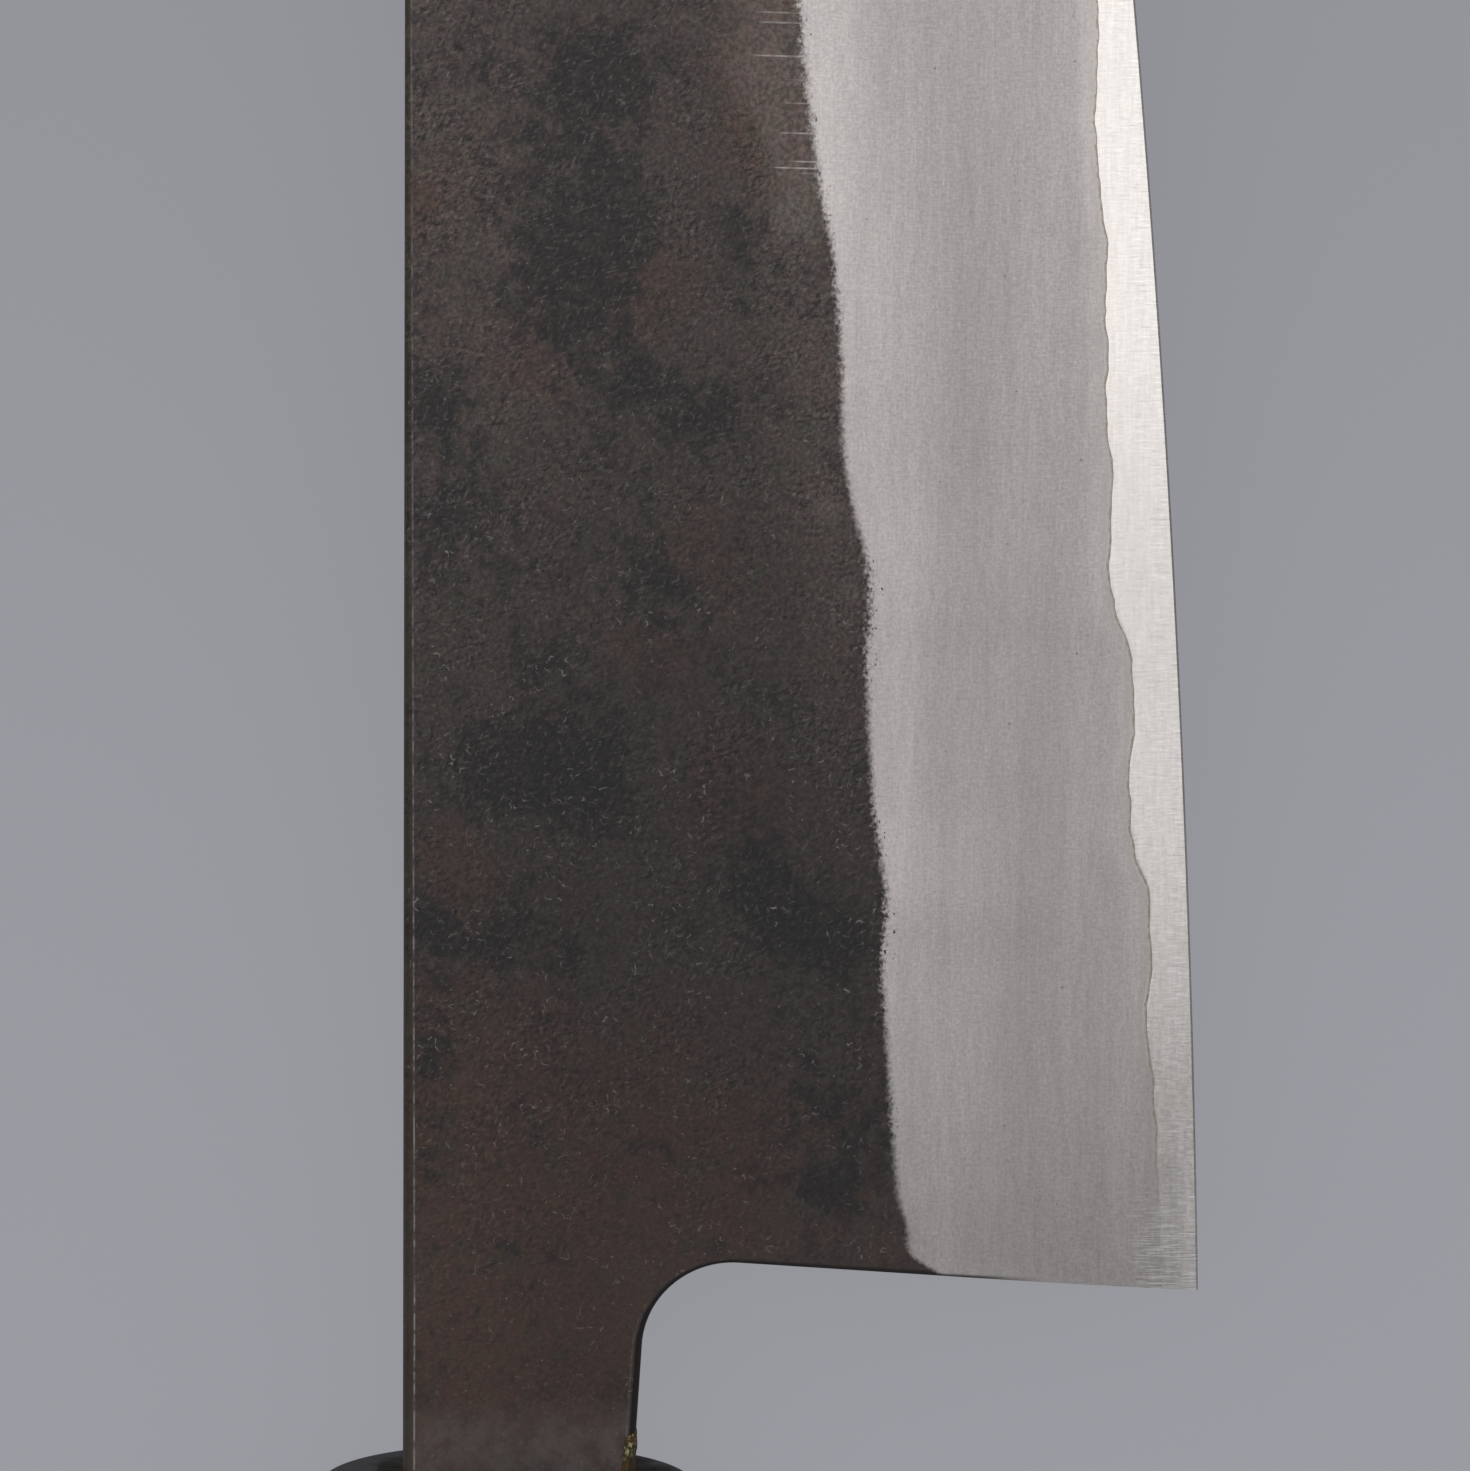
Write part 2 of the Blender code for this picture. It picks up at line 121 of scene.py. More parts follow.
def spine_y(x):
    run = max(0.0, min(x, BLADE_LENGTH) - arc_start_x)
    return math.sqrt(SPINE_ARC_RADIUS**2 - run**2) - SPINE_ARC_RADIUS


def edge_y(x):
    share = max(0.0, x / BLADE_LENGTH)
    rise = sum(part * share**power for power, part in EDGE_RISE_TERMS)
    return -heel_height + (heel_height - TIP_DROP) * rise


@functools.cache
def weld_line_y(x, side):
    """The left face's line waves differently: it is the right one's, read from tip to heel."""
    ripple = sum(height * noise.noise(Vector((x / length, 0.5, side))) for height, length in WELD_RIPPLES)
    return edge_y(x) + ripple + curve_at(WELD_LINE, x if side > 0 else BLADE_LENGTH - x)


def core_half_at(x, side):
    """Half thickness of the core. Core and iron are ground to one plane, so the weld line sets it."""
    slope = (BEVEL_TOP_HALF - HONED_HALF) / (BEVEL_TOP - HONED_WIDTH)
    ground = HONED_HALF + slope * (weld_line_y(x, side) - edge_y(x) - HONED_WIDTH)
    share = min(1.0, max(0.0, -x / NECK_LENGTH))
    return ground + (core_half - ground) * share


def loft(name, rings):
    """A closed skin through rings of points: a sheet laid on the rings, then sewn up and capped."""
    count = len(rings[0])
    bpy.ops.object.select_all(action="DESELECT")
    bpy.ops.mesh.primitive_grid_add(x_subdivisions=count, y_subdivisions=len(rings) - 1)
    piece = bpy.context.object
    piece.name = piece.data.name = name
    places = [ring[column % count] for ring in rings for column in range(count + 1)]
    piece.data.vertices.foreach_set("co", [value for place in places for value in place])
    piece.data.update()
    bpy.ops.object.mode_set(mode="EDIT")
    bpy.ops.mesh.select_all(action="SELECT")
    bpy.ops.mesh.remove_doubles(threshold=SEWN_BELOW)
    bpy.ops.mesh.fill_holes(sides=0)
    bpy.ops.mesh.select_all(action="SELECT")
    bpy.ops.mesh.normals_make_consistent(inside=False)
    bpy.ops.object.mode_set(mode="OBJECT")
    return piece


def blade_loft(name, rings):
    return loft(name, [[blade_origin + point for point in ring] for ring in rings])


def pick(piece):
    """Selects one piece and nothing else."""
    bpy.ops.object.select_all(action="DESELECT")
    bpy.context.view_layer.objects.active = piece
    piece.select_set(True)


def cut_away(piece, cutter):
    """Cuts the cutter's shape out of the piece for good."""
    cut = piece.modifiers.new("cut", "BOOLEAN")
    cut.operation = "DIFFERENCE"
    cut.object = cutter
    pick(piece)
    bpy.ops.object.modifier_apply(modifier=cut.name)


def shade(piece, degrees):
    """Smooth shading, with every edge that turns by more than this left sharp."""
    pick(piece)
    bpy.ops.object.shade_smooth_by_angle(angle=math.radians(degrees))


def stand_for(piece, material, node):
    """Gives a piece its material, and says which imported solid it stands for."""
    piece.data.materials.clear()
    piece.data.materials.append(material)
    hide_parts(node)
    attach(piece, "root")


def map_blade(piece, name, across):
    """A UV map that holds, in metres, the two distances that across works out for each point."""
    layer = piece.data.uv_layers.get(name) or piece.data.uv_layers.new(name=name)
    found = [across(vertex.co - blade_origin) for vertex in piece.data.vertices]
    corners = [found[loop.vertex_index] for loop in piece.data.loops]
    layer.data.foreach_set("uv", [value for corner in corners for value in corner])


# The grinding that frees heel, choil and neck goes through all three layers and rounds their corners
# over. It is a cutter, taken away again once the layers are cut.
NECK_HEIGHT = 0.0139
NECK_TAPER = math.radians(3.5)
HEEL_LEAN = math.radians(3.4)
CHOIL_RADIUS = 0.0055
CHOIL_STEPS = 28
CORNER_EASE = 0.0005
EASE_POWER = 3  # how much of the easing comes only near the face
EASE_LEVELS = (0.0, 0.25, 0.45, 0.6, 0.72, 0.82, 0.9, 0.96, 1.0)  # from the middle to the face
NECK_HALF = 0.0017
CUT_SPARE = 0.004


def heel_outline(ease):
    """From below the heel up to the choil, round it and back along the neck, moved inwards by ease."""
    heel = Vector((ease / math.cos(HEEL_LEAN), -heel_height))
    up_heel = Vector((math.sin(HEEL_LEAN), math.cos(HEEL_LEAN)))
    mouth = Vector((-NECK_LENGTH, -NECK_HEIGHT + ease / math.cos(NECK_TAPER)))
    along_neck = Vector((math.cos(NECK_TAPER), -math.sin(NECK_TAPER)))
    corner = heel + up_heel * ((mouth - heel).cross(along_neck) / up_heel.cross(along_neck))
    radius = CHOIL_RADIUS + ease
    opening = math.acos(up_heel.dot(along_neck))
    start = corner - up_heel * (radius / math.tan(opening / 2))
    centre = start - Vector((up_heel.y, -up_heel.x)) * radius
    turn = (math.pi - opening) / CHOIL_STEPS
    angles = [-HEEL_LEAN + turn * i for i in range(CHOIL_STEPS + 1)]
    arc = [centre + radius * Vector((math.cos(angle), math.sin(angle))) for angle in angles]
    back_x = SHOULDER_X - CUT_SPARE
    back = mouth + along_neck / along_neck.x * (back_x - mouth.x)
    below = heel - up_heel * CUT_SPARE
    return [below, *arc, back, Vector((back_x, below.y))]


outer_level = 1.0 + CUT_SPARE / NECK_HALF
inner_levels = [-level for level in reversed(EASE_LEVELS[1:])] + list(EASE_LEVELS)
cutter_rings = []
for level in (-outer_level, *inner_levels, outer_level):
    outline = heel_outline(CORNER_EASE * min(1.0, abs(level)) ** EASE_POWER)
    cutter_rings.append([Vector((*point, level * NECK_HALF)) for point in outline])
heel_cutter = blade_loft("heel_cutter", cutter_rings)
heel_line = heel_outline(0.0)[:-1]


def ahead_of_cut(x, y):
    """How far a point of the blade lies from the outline of heel, choil and neck."""
    point = Vector((x, y))
    distances = []
    for start, end in zip(heel_line, heel_line[1:]):
        run = end - start
        t = max(0.0, min(1.0, (point - start).dot(run) / run.length_squared))
        distances.append((point - start - run * t).length)
    return min(distances)


def blade_columns():
    """Places from the tang's shoulder to just before the tip, closer together round neck and heel."""
    found = [SHOULDER_X]
    while found[-1] < arc_start_x - COLUMN_STEP:
        found.append(found[-1] + (HEEL_COLUMN_STEP if found[-1] < HEEL_COLUMNS_END else COLUMN_STEP))
    arc_angle = math.asin(arc_run / SPINE_ARC_RADIUS)
    steps = math.ceil(SPINE_ARC_RADIUS * arc_angle / COLUMN_STEP)
    angles = [arc_angle * i / steps for i in range(steps)]
    return found + [arc_start_x + SPINE_ARC_RADIUS * math.sin(angle) for angle in angles]


def spread(start, end, count):
    """count numbers from start towards end, without end itself."""
    return [start + (end - start) * i / count for i in range(count)]


def tang_size(x):
    """Half height and half thickness of the tang at x."""
    share = (SHOULDER_X - x) / (SHOULDER_X - TANG_END_X)
    height = TANG_HEIGHT + (TANG_END_HEIGHT - TANG_HEIGHT) * share
    return height / 2, NECK_HALF + (TANG_END_HALF - NECK_HALF) * share


def core_side(x, side):
    """One side of the core's section at x, from the back down to the edge."""
    top, edge = spine_y(x), edge_y(x)
    weld = weld_line_y(x, side)
    keen = edge + HONED_WIDTH
    half = core_half_at(x, side)
    slope = (half - HONED_HALF) / (weld - keen)
    start = min(weld, top)
    heights = [top, *spread(start, min(keen, start), CORE_ROWS), min(keen, start)]
    halves = [min(half, max(HONED_HALF + slope * (y - keen), 0.0)) for y in heights]
    return [Vector((x, y, side * half)) for y, half in zip(heights, halves)]


def tang_core_side(x, side):
    half_height, _ = tang_size(x)
    heights = [HANDLE_AXIS_Y + half_height] + [HANDLE_AXIS_Y - half_height] * (CORE_ROWS + 1)
    halves = [core_half] + spread(core_half, 0.0, CORE_ROWS + 1)
    return [Vector((x, y, side * half)) for y, half in zip(heights, halves)]


columns = blade_columns()
tang_columns = (TANG_END_X, SHOULDER_X - SHOULDER_STEP)
rings = []
for x in tang_columns:
    low = Vector((x, HANDLE_AXIS_Y - tang_size(x)[0], 0.0))
    rings.append([*tang_core_side(x, 1), low, *reversed(tang_core_side(x, -1))])
for x in columns:
    rings.append([*core_side(x, 1), Vector((x, edge_y(x), 0.0)), *reversed(core_side(x, -1))])
rings.append([Vector((BLADE_LENGTH, -TIP_DROP, 0.0))] * len(rings[0]))
core = blade_loft("cutting_core", rings)
cut_away(core, heel_cutter)
shade(core, degrees=9)


def core_lines(point):
    """How far above the edge and below the weld."""
    side = 1 if point.z >= 0.0 else -1
    return point.y - edge_y(point.x), weld_line_y(point.x, side) - point.y


map_blade(core, "core_lines", core_lines)


class Tree:
    """A node tree filled one node at a time. Each call gives back what the new node puts out."""

    def __init__(self, tree):
        self.tree = tree

    def add(self, kind, inputs=(), **settings):
        made = self.tree.nodes.new("ShaderNode" + kind)
        for name, value in settings.items():
            setattr(made, name, value)
        self.feed(made, inputs)
        return made

    def feed(self, made, inputs):
        for name, value in dict(inputs).items():
            if isinstance(value, bpy.types.NodeSocket):
                self.tree.links.new(value, made.inputs[name])
            else:
                made.inputs[name].default_value = value

    def math(self, operation, *values):
        return self.add("Math", enumerate(values), operation=operation).outputs[0]

    def chain(self, operation, values):
        return functools.reduce(lambda a, b: self.math(operation, a, b), values)

    def total(self, *values):
        return self.chain("ADD", values)

    def times(self, *values):
        return self.chain("MULTIPLY", values)

    def most(self, *values):
        return self.chain("MAXIMUM", values)

    def less(self, value, taken):
        return self.math("SUBTRACT", value, taken)

    def rest(self, share):
        """What a share leaves of 1."""
        return self.less(1.0, share)

    def fit(self, value, start, end, to_start=0.0, to_end=1.0):
        """Turns a rising or falling range softly into the range from to_start to to_end."""
        inputs = {0: value, 1: start, 2: end, 3: to_start, 4: to_end}
        return self.add("MapRange", inputs, interpolation_type="SMOOTHSTEP").outputs[0]

    def near(self, value, middle, full, end, peak=1.0):
        """The peak up to full away from the middle on both sides, and softly less out to nothing at end."""
        return self.fit(self.math("ABSOLUTE", self.less(value, middle)), full, end, peak, 0.0)

    def coat(self, under, colour, *shares):
        """Lays a colour over another, as thickly as all the shares multiplied say."""
        inputs = {0: self.times(*shares), 6: under, 7: colour}
        return self.add("Mix", inputs, data_type="RGBA").outputs[2]

    def between(self, share, a, b):
        """The value that lies that share of the way from a to b."""
        return self.add("Mix", {0: share, 2: a, 3: b}).outputs[0]

    def dim(self, colour, *levels):
        """A colour made darker or lighter by levels about 1."""
        inputs = {0: 1.0, 6: colour, 7: self.times(*levels)}
        return self.add("Mix", inputs, data_type="RGBA", blend_type="MULTIPLY").outputs[2]

    def vary(self, colour, where, size, amount):
        """A colour whose red, green and blue drift up and down by amount, each in its own way."""
        inputs = {"Vector": where, "Scale": 1 / size, "Detail": 3.0}
        drift = self.add("TexNoise", inputs).outputs["Color"]
        low, gain = (1 - 2 * amount,) * 3, (4 * amount,) * 3
        inputs = {0: drift, 1: gain, 2: low}
        return self.dim(colour, self.add("VectorMath", inputs, operation="MULTIPLY_ADD").outputs[0])

    def shifted(self, where, shift=(0.0, 0.0, 0.0), scale=(1.0, 1.0, 1.0), turn=0.0):
        inputs = {"Vector": where, "Location": shift, "Scale": scale, "Rotation": (0.0, 0.0, turn)}
        return self.add("Mapping", inputs).outputs[0]

    def noise(self, where, size, detail=2.0, roughness=0.5, shift=(0.0, 0.0, 0.0)):
        """Noise about 0.5 with features as large as size: one length, or one each along X, Y and Z.

        With two lengths, along the blade and across it, the pattern is the same through the thickness.
        """
        sizes = (*size, 1.0)[:3] if isinstance(size, tuple) else (size, size, size)
        moved = self.shifted(where, shift, tuple(1 / length for length in sizes))
        inputs = {"Vector": moved, "Scale": 1.0, "Detail": detail, "Roughness": roughness}
        return self.add("TexNoise", inputs).outputs[0]

    def place(self):
        return self.add("TexCoord").outputs["Object"]

    def split(self, vector):
        return self.add("SeparateXYZ", {0: vector}).outputs

    def stretch(self, vector, factor):
        return self.add("VectorMath", {0: vector, 3: factor}, operation="SCALE").outputs[0]

    def cells(self, where, cell):
        """The place counted in cells, and what is known of the cell there: its middle and its chances."""
        counted = self.stretch(where, self.math("DIVIDE", 1.0, cell))
        inputs = {"Vector": counted, "Scale": 1.0}
        return counted, self.add("TexVoronoi", inputs, voronoi_dimensions="2D").outputs

    def uv(self, name):
        return self.split(self.add("UVMap", uv_map=name).outputs[0])

    def group(self, name, **inputs):
        made = self.add("Group", node_tree=bpy.data.node_groups[name])
        self.feed(made, {key.replace("_", " "): value for key, value in inputs.items()})
        return made.outputs[0]

    def bump(self, height, depth, strength):
        inputs = {"Height": height, "Distance": depth, "Strength": strength}
        return self.add("Bump", inputs).outputs[0]

    def surface(self, **inputs):
        shader = self.add("BsdfPrincipled", {key.replace("_", " "): value for key, value in inputs.items()})
        self.add("OutputMaterial", {"Surface": shader.outputs[0]})


def new_material(name):
    material = bpy.data.materials.new(name)
    material.use_nodes = True
    material.node_tree.nodes.clear()
    return material, Tree(material.node_tree)


def new_group(name, output, **inputs):
    """A group of nodes that puts out one value: its Tree, its inputs, and a way to give the result."""
    tree = bpy.data.node_groups.new(name, "ShaderNodeTree")
    tree.interface.new_socket(output, in_out="OUTPUT", socket_type="NodeSocketFloat")
    for socket, kind in inputs.items():
        tree.interface.new_socket(socket.replace("_", " "), in_out="INPUT", socket_type="NodeSocket" + kind)
    given = tree.nodes.new("NodeGroupInput").outputs
    made_out = tree.nodes.new("NodeGroupOutput")
    return Tree(tree), given, lambda value: tree.links.new(value, made_out.inputs[0])


# Stone strokes, on iron and core steel: fine marks along the blade crossed by marks from back to edge,
# which together look like linen. Crosswise is the share of the second kind.
nodes, given, give = new_group("stone_strokes", "Strokes", Place="Vector", Crosswise="Float")
along = nodes.noise(given["Place"], (0.00110, 0.00013), 3.0, 0.7)
broad_along = nodes.noise(given["Place"], (0.0080, 0.00060), 2.0, 0.6)
across = nodes.noise(given["Place"], (0.00013, 0.00070), 3.0, 0.7)
specks = nodes.noise(given["Place"], (0.00030, 0.00024), 2.0, 0.6)
strokes = nodes.between(given["Crosswise"], nodes.between(0.32, along, broad_along), across)
give(nodes.between(0.2, strokes, specks))

# Hair marks: short bent lines that lie every way, one to a cell. They are rubs on the black scale and
# stray scratches on steel. Share is how many of the cells have one.
HAIR_BEND = 1.6
nodes, given, give = new_group(
    "hair_marks", "Marks", Place="Vector", Cell="Float", Length="Float", Width="Float", Share="Float"
)
inputs = {"Vector": given["Place"], "Scale": nodes.math("DIVIDE", 1.5, given["Length"]), "Detail": 1.0}
wobble = nodes.stretch(nodes.add("TexNoise", inputs).outputs["Color"], given["Length"])
wobbled = nodes.add("VectorMath", {0: given["Place"], 1: wobble}, operation="ADD").outputs[0]
counted, cells = nodes.cells(wobbled, given["Cell"])
turn_chance, share_chance, bend_chance = nodes.split(cells["Color"])
from_middle = nodes.add("VectorMath", {0: counted, 1: cells["Position"]}, operation="SUBTRACT").outputs[0]
inputs = {"Vector": from_middle, "Angle": nodes.times(turn_chance, math.tau)}
run, off, _ = nodes.split(nodes.add("VectorRotate", inputs, rotation_type="Z_AXIS").outputs[0])
bend = nodes.times(run, run, nodes.fit(bend_chance, 0.0, 1.0, -HAIR_BEND, HAIR_BEND))
half_length = nodes.math("DIVIDE", nodes.times(given["Length"], 0.5), given["Cell"])
half_width = nodes.math("DIVIDE", nodes.times(given["Width"], 0.5), given["Cell"])
within = nodes.rest(nodes.math("DIVIDE", nodes.math("ABSOLUTE", run), half_length))
line = nodes.rest(nodes.math("DIVIDE", nodes.math("ABSOLUTE", nodes.less(off, bend)), half_width))
present = nodes.math("LESS_THAN", share_chance, given["Share"])
brightness = nodes.fit(bend_chance, 0.0, 1.0, 0.25, 1.0)
give(nodes.times(nodes.fit(within, 0.0, 0.4), nodes.fit(line, 0.0, 1.0), present, brightness))

# Heel marks: light scratches square to the edge, left at the heel by the first strokes on the stone.
nodes, given, give = new_group("heel_marks", "Marks", Place="Vector", From_heel="Float")
lines = nodes.noise(given["Place"], (0.00009, 0.0022), 2.0, 0.6, (0.15, 0.0, 0.0))
give(nodes.times(nodes.fit(lines, 0.47, 0.62), nodes.fit(given["From heel"], 0.0080, 0.0016)))

# The core's finish: polished with fine stones, so it is smoother and paler than the iron, with streaks
# along the edge, short scratches square to it, and a faint warm stain here and there. On the back, the
# choil and the neck it lies under the same black scale as the iron.
STEEL_COLOUR = (0.594, 0.560, 0.541, 1.0)
STEEL_STAIN = (0.582, 0.548, 0.525, 1.0)
STEEL_MARK = (0.300, 0.280, 0.275, 1.0)
STEEL_GLINT = (0.800, 0.790, 0.800, 1.0)
BLACK_COLOUR = (0.0343, 0.0250, 0.0219, 1.0)

steel, nodes = new_material("polished_core_steel")
place = nodes.place()
from_heel = nodes.less(nodes.split(place)[0], blade_origin.x)
above_edge = nodes.uv("core_lines")[0]
strokes = nodes.group("stone_strokes", Place=place, Crosswise=0.52)
streaks = nodes.noise(place, (0.0028, 0.00026), 3.0, 0.65, shift=(0.0, 0.3, 0.0))
stains = nodes.noise(place, (0.0030, 0.0012), 3.0, 0.6)
tone = nodes.coat(STEEL_COLOUR, STEEL_STAIN, nodes.fit(stains, 0.40, 0.66))
tone = nodes.dim(tone, nodes.fit(strokes, 0.36, 0.64, 0.90, 1.09))
tone = nodes.dim(tone, nodes.fit(streaks, 0.30, 0.70, 0.95, 1.04))
scratches = nodes.noise(place, (0.00012, 0.0014), 2.0, 0.6, shift=(0.7, 0.0, 0.0))
by_edge = nodes.fit(above_edge, 0.0005, 0.0022, 1.0, 0.45)
tone = nodes.coat(tone, STEEL_MARK, nodes.fit(scratches, 0.57, 0.72, 0.0, 0.40), by_edge)
tone = nodes.coat(tone, STEEL_GLINT, nodes.fit(scratches, 0.43, 0.32, 0.0, 0.38), by_edge)
stray = nodes.group("hair_marks", Place=place, Cell=0.0030, Length=0.0016, Width=0.00005, Share=0.5)
tone = nodes.coat(tone, STEEL_MARK, stray, 0.35)
# Painted reflection: darker near the heel, where it mirrors less of the lamp, and a quarter of the way up.
# A painted highlight lifts the colour along the edge near the heel.
heel_edge_highlight = nodes.times(nodes.fit(above_edge, 0.0016, 0.0), nodes.fit(from_heel, 0.014, 0.004), 0.24)
tone = nodes.dim(
    tone,
    nodes.fit(from_heel, 0.001, 0.022, 0.86, 1.0),
    nodes.rest(nodes.near(from_heel, 0.043, 0.002, 0.018, 0.12)),
    nodes.total(1.0, heel_edge_highlight),
)
tone = nodes.coat(tone, STEEL_GLINT, nodes.group("heel_marks", Place=place, From_heel=from_heel), 0.60)
under_scale = nodes.fit(above_edge, 0.012, 0.018)
tone = nodes.coat(tone, nodes.vary(BLACK_COLOUR, place, 0.0006, 0.30), under_scale)
nodes.surface(
    Base_Color=tone,
    Metallic=nodes.rest(under_scale),
    Roughness=nodes.between(under_scale, nodes.fit(strokes, 0.30, 0.70, 0.145, 0.185), 0.5),
    Specular_IOR_Level=0.3,
    Normal=nodes.bump(strokes, 0.000004, 0.5),
)
stand_for(core, steel, "core_steel")


# Claddings: soft iron, one on each side of the core. The forge's black scale is left on the flats, and
# the broad bevel below is ground bright, with a ragged line between the two.
FORGED_WAVES = 0.00003  # how far the hammer left the flats uneven
FORGED_WAVE_LENGTH = 0.014
SPINE_THICKNESS_AT_HEEL = 0.0034
SPINE_THICKNESS_AT_TIP = 0.0019
THINNING_TO_BEVEL = 0.0007
FLAT_HEIGHT = 0.030
RIDGE_ROUNDING = 0.00003  # where the flat turns into the bevel
CHAMFER_AT_NECK = 0.00070
CHAMFER_AT_TIP = 0.00005
CHAMFER_BELLY = 0.12
CHAMFER_OF_THICKNESS = 0.4  # the most that the chamfer takes of the iron's thickness, and of its height
CHAMFER_OF_HEIGHT = 0.3
BACK_ROWS = 4
CHAMFER_ROWS = 5
FLAT_ROWS = 32
RIDGE_ROWS = 8
RIDGE_REACH = 0.0006
RIDGE_OF_BEVEL = 0.75  # the most that the ridge's rows take of the bevel
HEEL_CORNER_END = 0.0060
BEVEL_ROWS = 26
# Where the bevel starts: how far it lies above the edge from heel to tip
BEVEL_LINE = metres(
    (-4, 15), (1, 15.5), (1.5, 16.1), (1.9, 16.7), (2.6, 17.4), (4, 17.5), (6, 18), (11.5, 18.3),
    (17.6, 18.5), (20.5, 18.6), (23.8, 18.2), (27, 18.4), (29.9, 18.7), (39, 18.7), (42.1, 18.3),
    (45.1, 18.4), (48.2, 19), (51.1, 19.3), (53.3, 19.3), (57.2, 19.1), (63.3, 19.2), (66.3, 19.5),
    (72.3, 19.9), (78.3, 20), (92, 20.3), (108, 20.9), (122, 20.7), (143, 21.6), (165, 22),
)
LEFT_WAVES = 0.3  # how much of the weld line's waves the left face's line takes on


@functools.cache
def bevel_line_y(x, side):
    """The left face's line follows the right one's, but with waves of its own."""
    own = curve_at(BEVEL_LINE, x)
    if side < 0:
        own += LEFT_WAVES * (curve_at(WELD_LINE, BLADE_LENGTH - x) - curve_at(WELD_LINE, x))
    return edge_y(x) + own


def bevel_top_y(x, side):
    """Where the bevel's plane meets the flat. At the heel the black runs on below it."""
    return bevel_line_y(max(x, HEEL_CORNER_END), side) - edge_y(max(x, HEEL_CORNER_END)) + edge_y(x)


def flat_half(x, y, side):
    """Half thickness of the forged flat. It thins towards the tip and the edge, and is a little uneven."""
    thinning = (SPINE_THICKNESS_AT_HEEL - SPINE_THICKNESS_AT_TIP) / 2 * x / BLADE_LENGTH
    even = SPINE_THICKNESS_AT_HEEL / 2 - thinning + THINNING_TO_BEVEL / 2 * y / FLAT_HEIGHT
    waves = noise.noise(Vector((x, y, side * FORGED_WAVE_LENGTH)) / FORGED_WAVE_LENGTH)
    return even + FORGED_WAVES * waves


def cladding_half(x, y, side):
    """Half thickness of the blade where iron covers it: the flat and the bevel, with a rounded ridge."""
    line, weld = bevel_top_y(x, side), weld_line_y(x, side)
    inner = core_half_at(x, side)
    slope = (flat_half(x, line, side) - inner) / (line - weld)
    flat = flat_half(x, y, side)
    bevel = inner + slope * (y - weld)
    rounded = max(RIDGE_ROUNDING - abs(flat - bevel), 0.0) / RIDGE_ROUNDING
    return max(min(flat, bevel) - rounded**2 * RIDGE_ROUNDING / 4, inner)


def chamfer_at(x):
    share = min(1.0, max(0.0, x / BLADE_LENGTH))
    return CHAMFER_AT_NECK + (CHAMFER_AT_TIP - CHAMFER_AT_NECK) * share


def cladding_ring(x, side):
    """A cladding's section at x: over the back, down the face to the weld line, and back up inside."""
    top = spine_y(x)
    inner = core_half_at(x, side)
    weld = min(weld_line_y(x, side), top)
    iron_at_top = cladding_half(x, top, side) - inner
    chamfer = min(chamfer_at(x), CHAMFER_OF_THICKNESS * iron_at_top, CHAMFER_OF_HEIGHT * (top - weld))
    line = min(bevel_top_y(x, side), top - 2 * chamfer)
    upper = min(line + RIDGE_REACH, top - 2 * chamfer)
    lower = line - min(RIDGE_REACH, RIDGE_OF_BEVEL * (line - weld))
    corner_half = inner + iron_at_top - chamfer
    face_half = cladding_half(x, top - chamfer, side)
    points = [(top, half) for half in spread(inner, corner_half, BACK_ROWS)]
    for t in spread(0.0, 1.0, CHAMFER_ROWS):
        belly = CHAMFER_BELLY * chamfer * math.sin(math.pi * t)
        points.append((top - chamfer * t + belly, corner_half + (face_half - corner_half) * t + belly))
    heights = spread(top - chamfer, upper, FLAT_ROWS) + spread(upper, lower, RIDGE_ROWS)
    heights += spread(lower, weld, BEVEL_ROWS)
    points += [(y, cladding_half(x, y, side)) for y in heights]
    points.append((weld, inner))
    return [Vector((x, y, side * half)) for y, half in points]


def tang_cladding_ring(x, side, count):
    half_height, half = tang_size(x)
    low, high = HANDLE_AXIS_Y - half_height, HANDLE_AXIS_Y + half_height
    points = [(high, core_half)] + [(y, half) for y in spread(high, low, count - 2)] + [(low, core_half)]
    return [Vector((x, y, side * z)) for y, z in points]


# Marks that the fire left on the black flat: sooty places, and ones tinted brown-red. Each has its place
# from heel and back, and its reach. The first ones lie near the tip, the last ones round the neck.
SOOTY_PLACES = metres(
    (143, -12, 5), (131, -15, 6), (118, -6, 5), (108, -17, 5), (97, -9, 6), (86, -18, 4), (81.5, -6, 4),
    (75.5, -11.2, 3.6), (72.4, -10.7, 3.4), (67, -10.7, 6.2), (62, -10.8, 4.6), (58, -10.4, 3.6),
    (56, -14.2, 2.6), (44, -15, 4), (53.6, -17.5, 3.6), (64.8, -19.7, 2.4), (54.2, -2.4, 3.6),
    (47.5, -2.4, 4.4), (38.4, -8.3, 3.2), (31.8, -5.6, 4.4), (34.2, -10.7, 4.8), (29.9, -11, 4.2),
    (21.4, -5.6, 2.8), (21.1, -10.4, 3.6), (22.7, -1.8, 2.6), (26.3, -20.3, 3.6), (24.2, -22.1, 3.6),
    (21.1, -25.4, 4.6), (14.8, -2.1, 2.4), (12, -25.5, 3.4), (6, -26.5, 3.2),
)
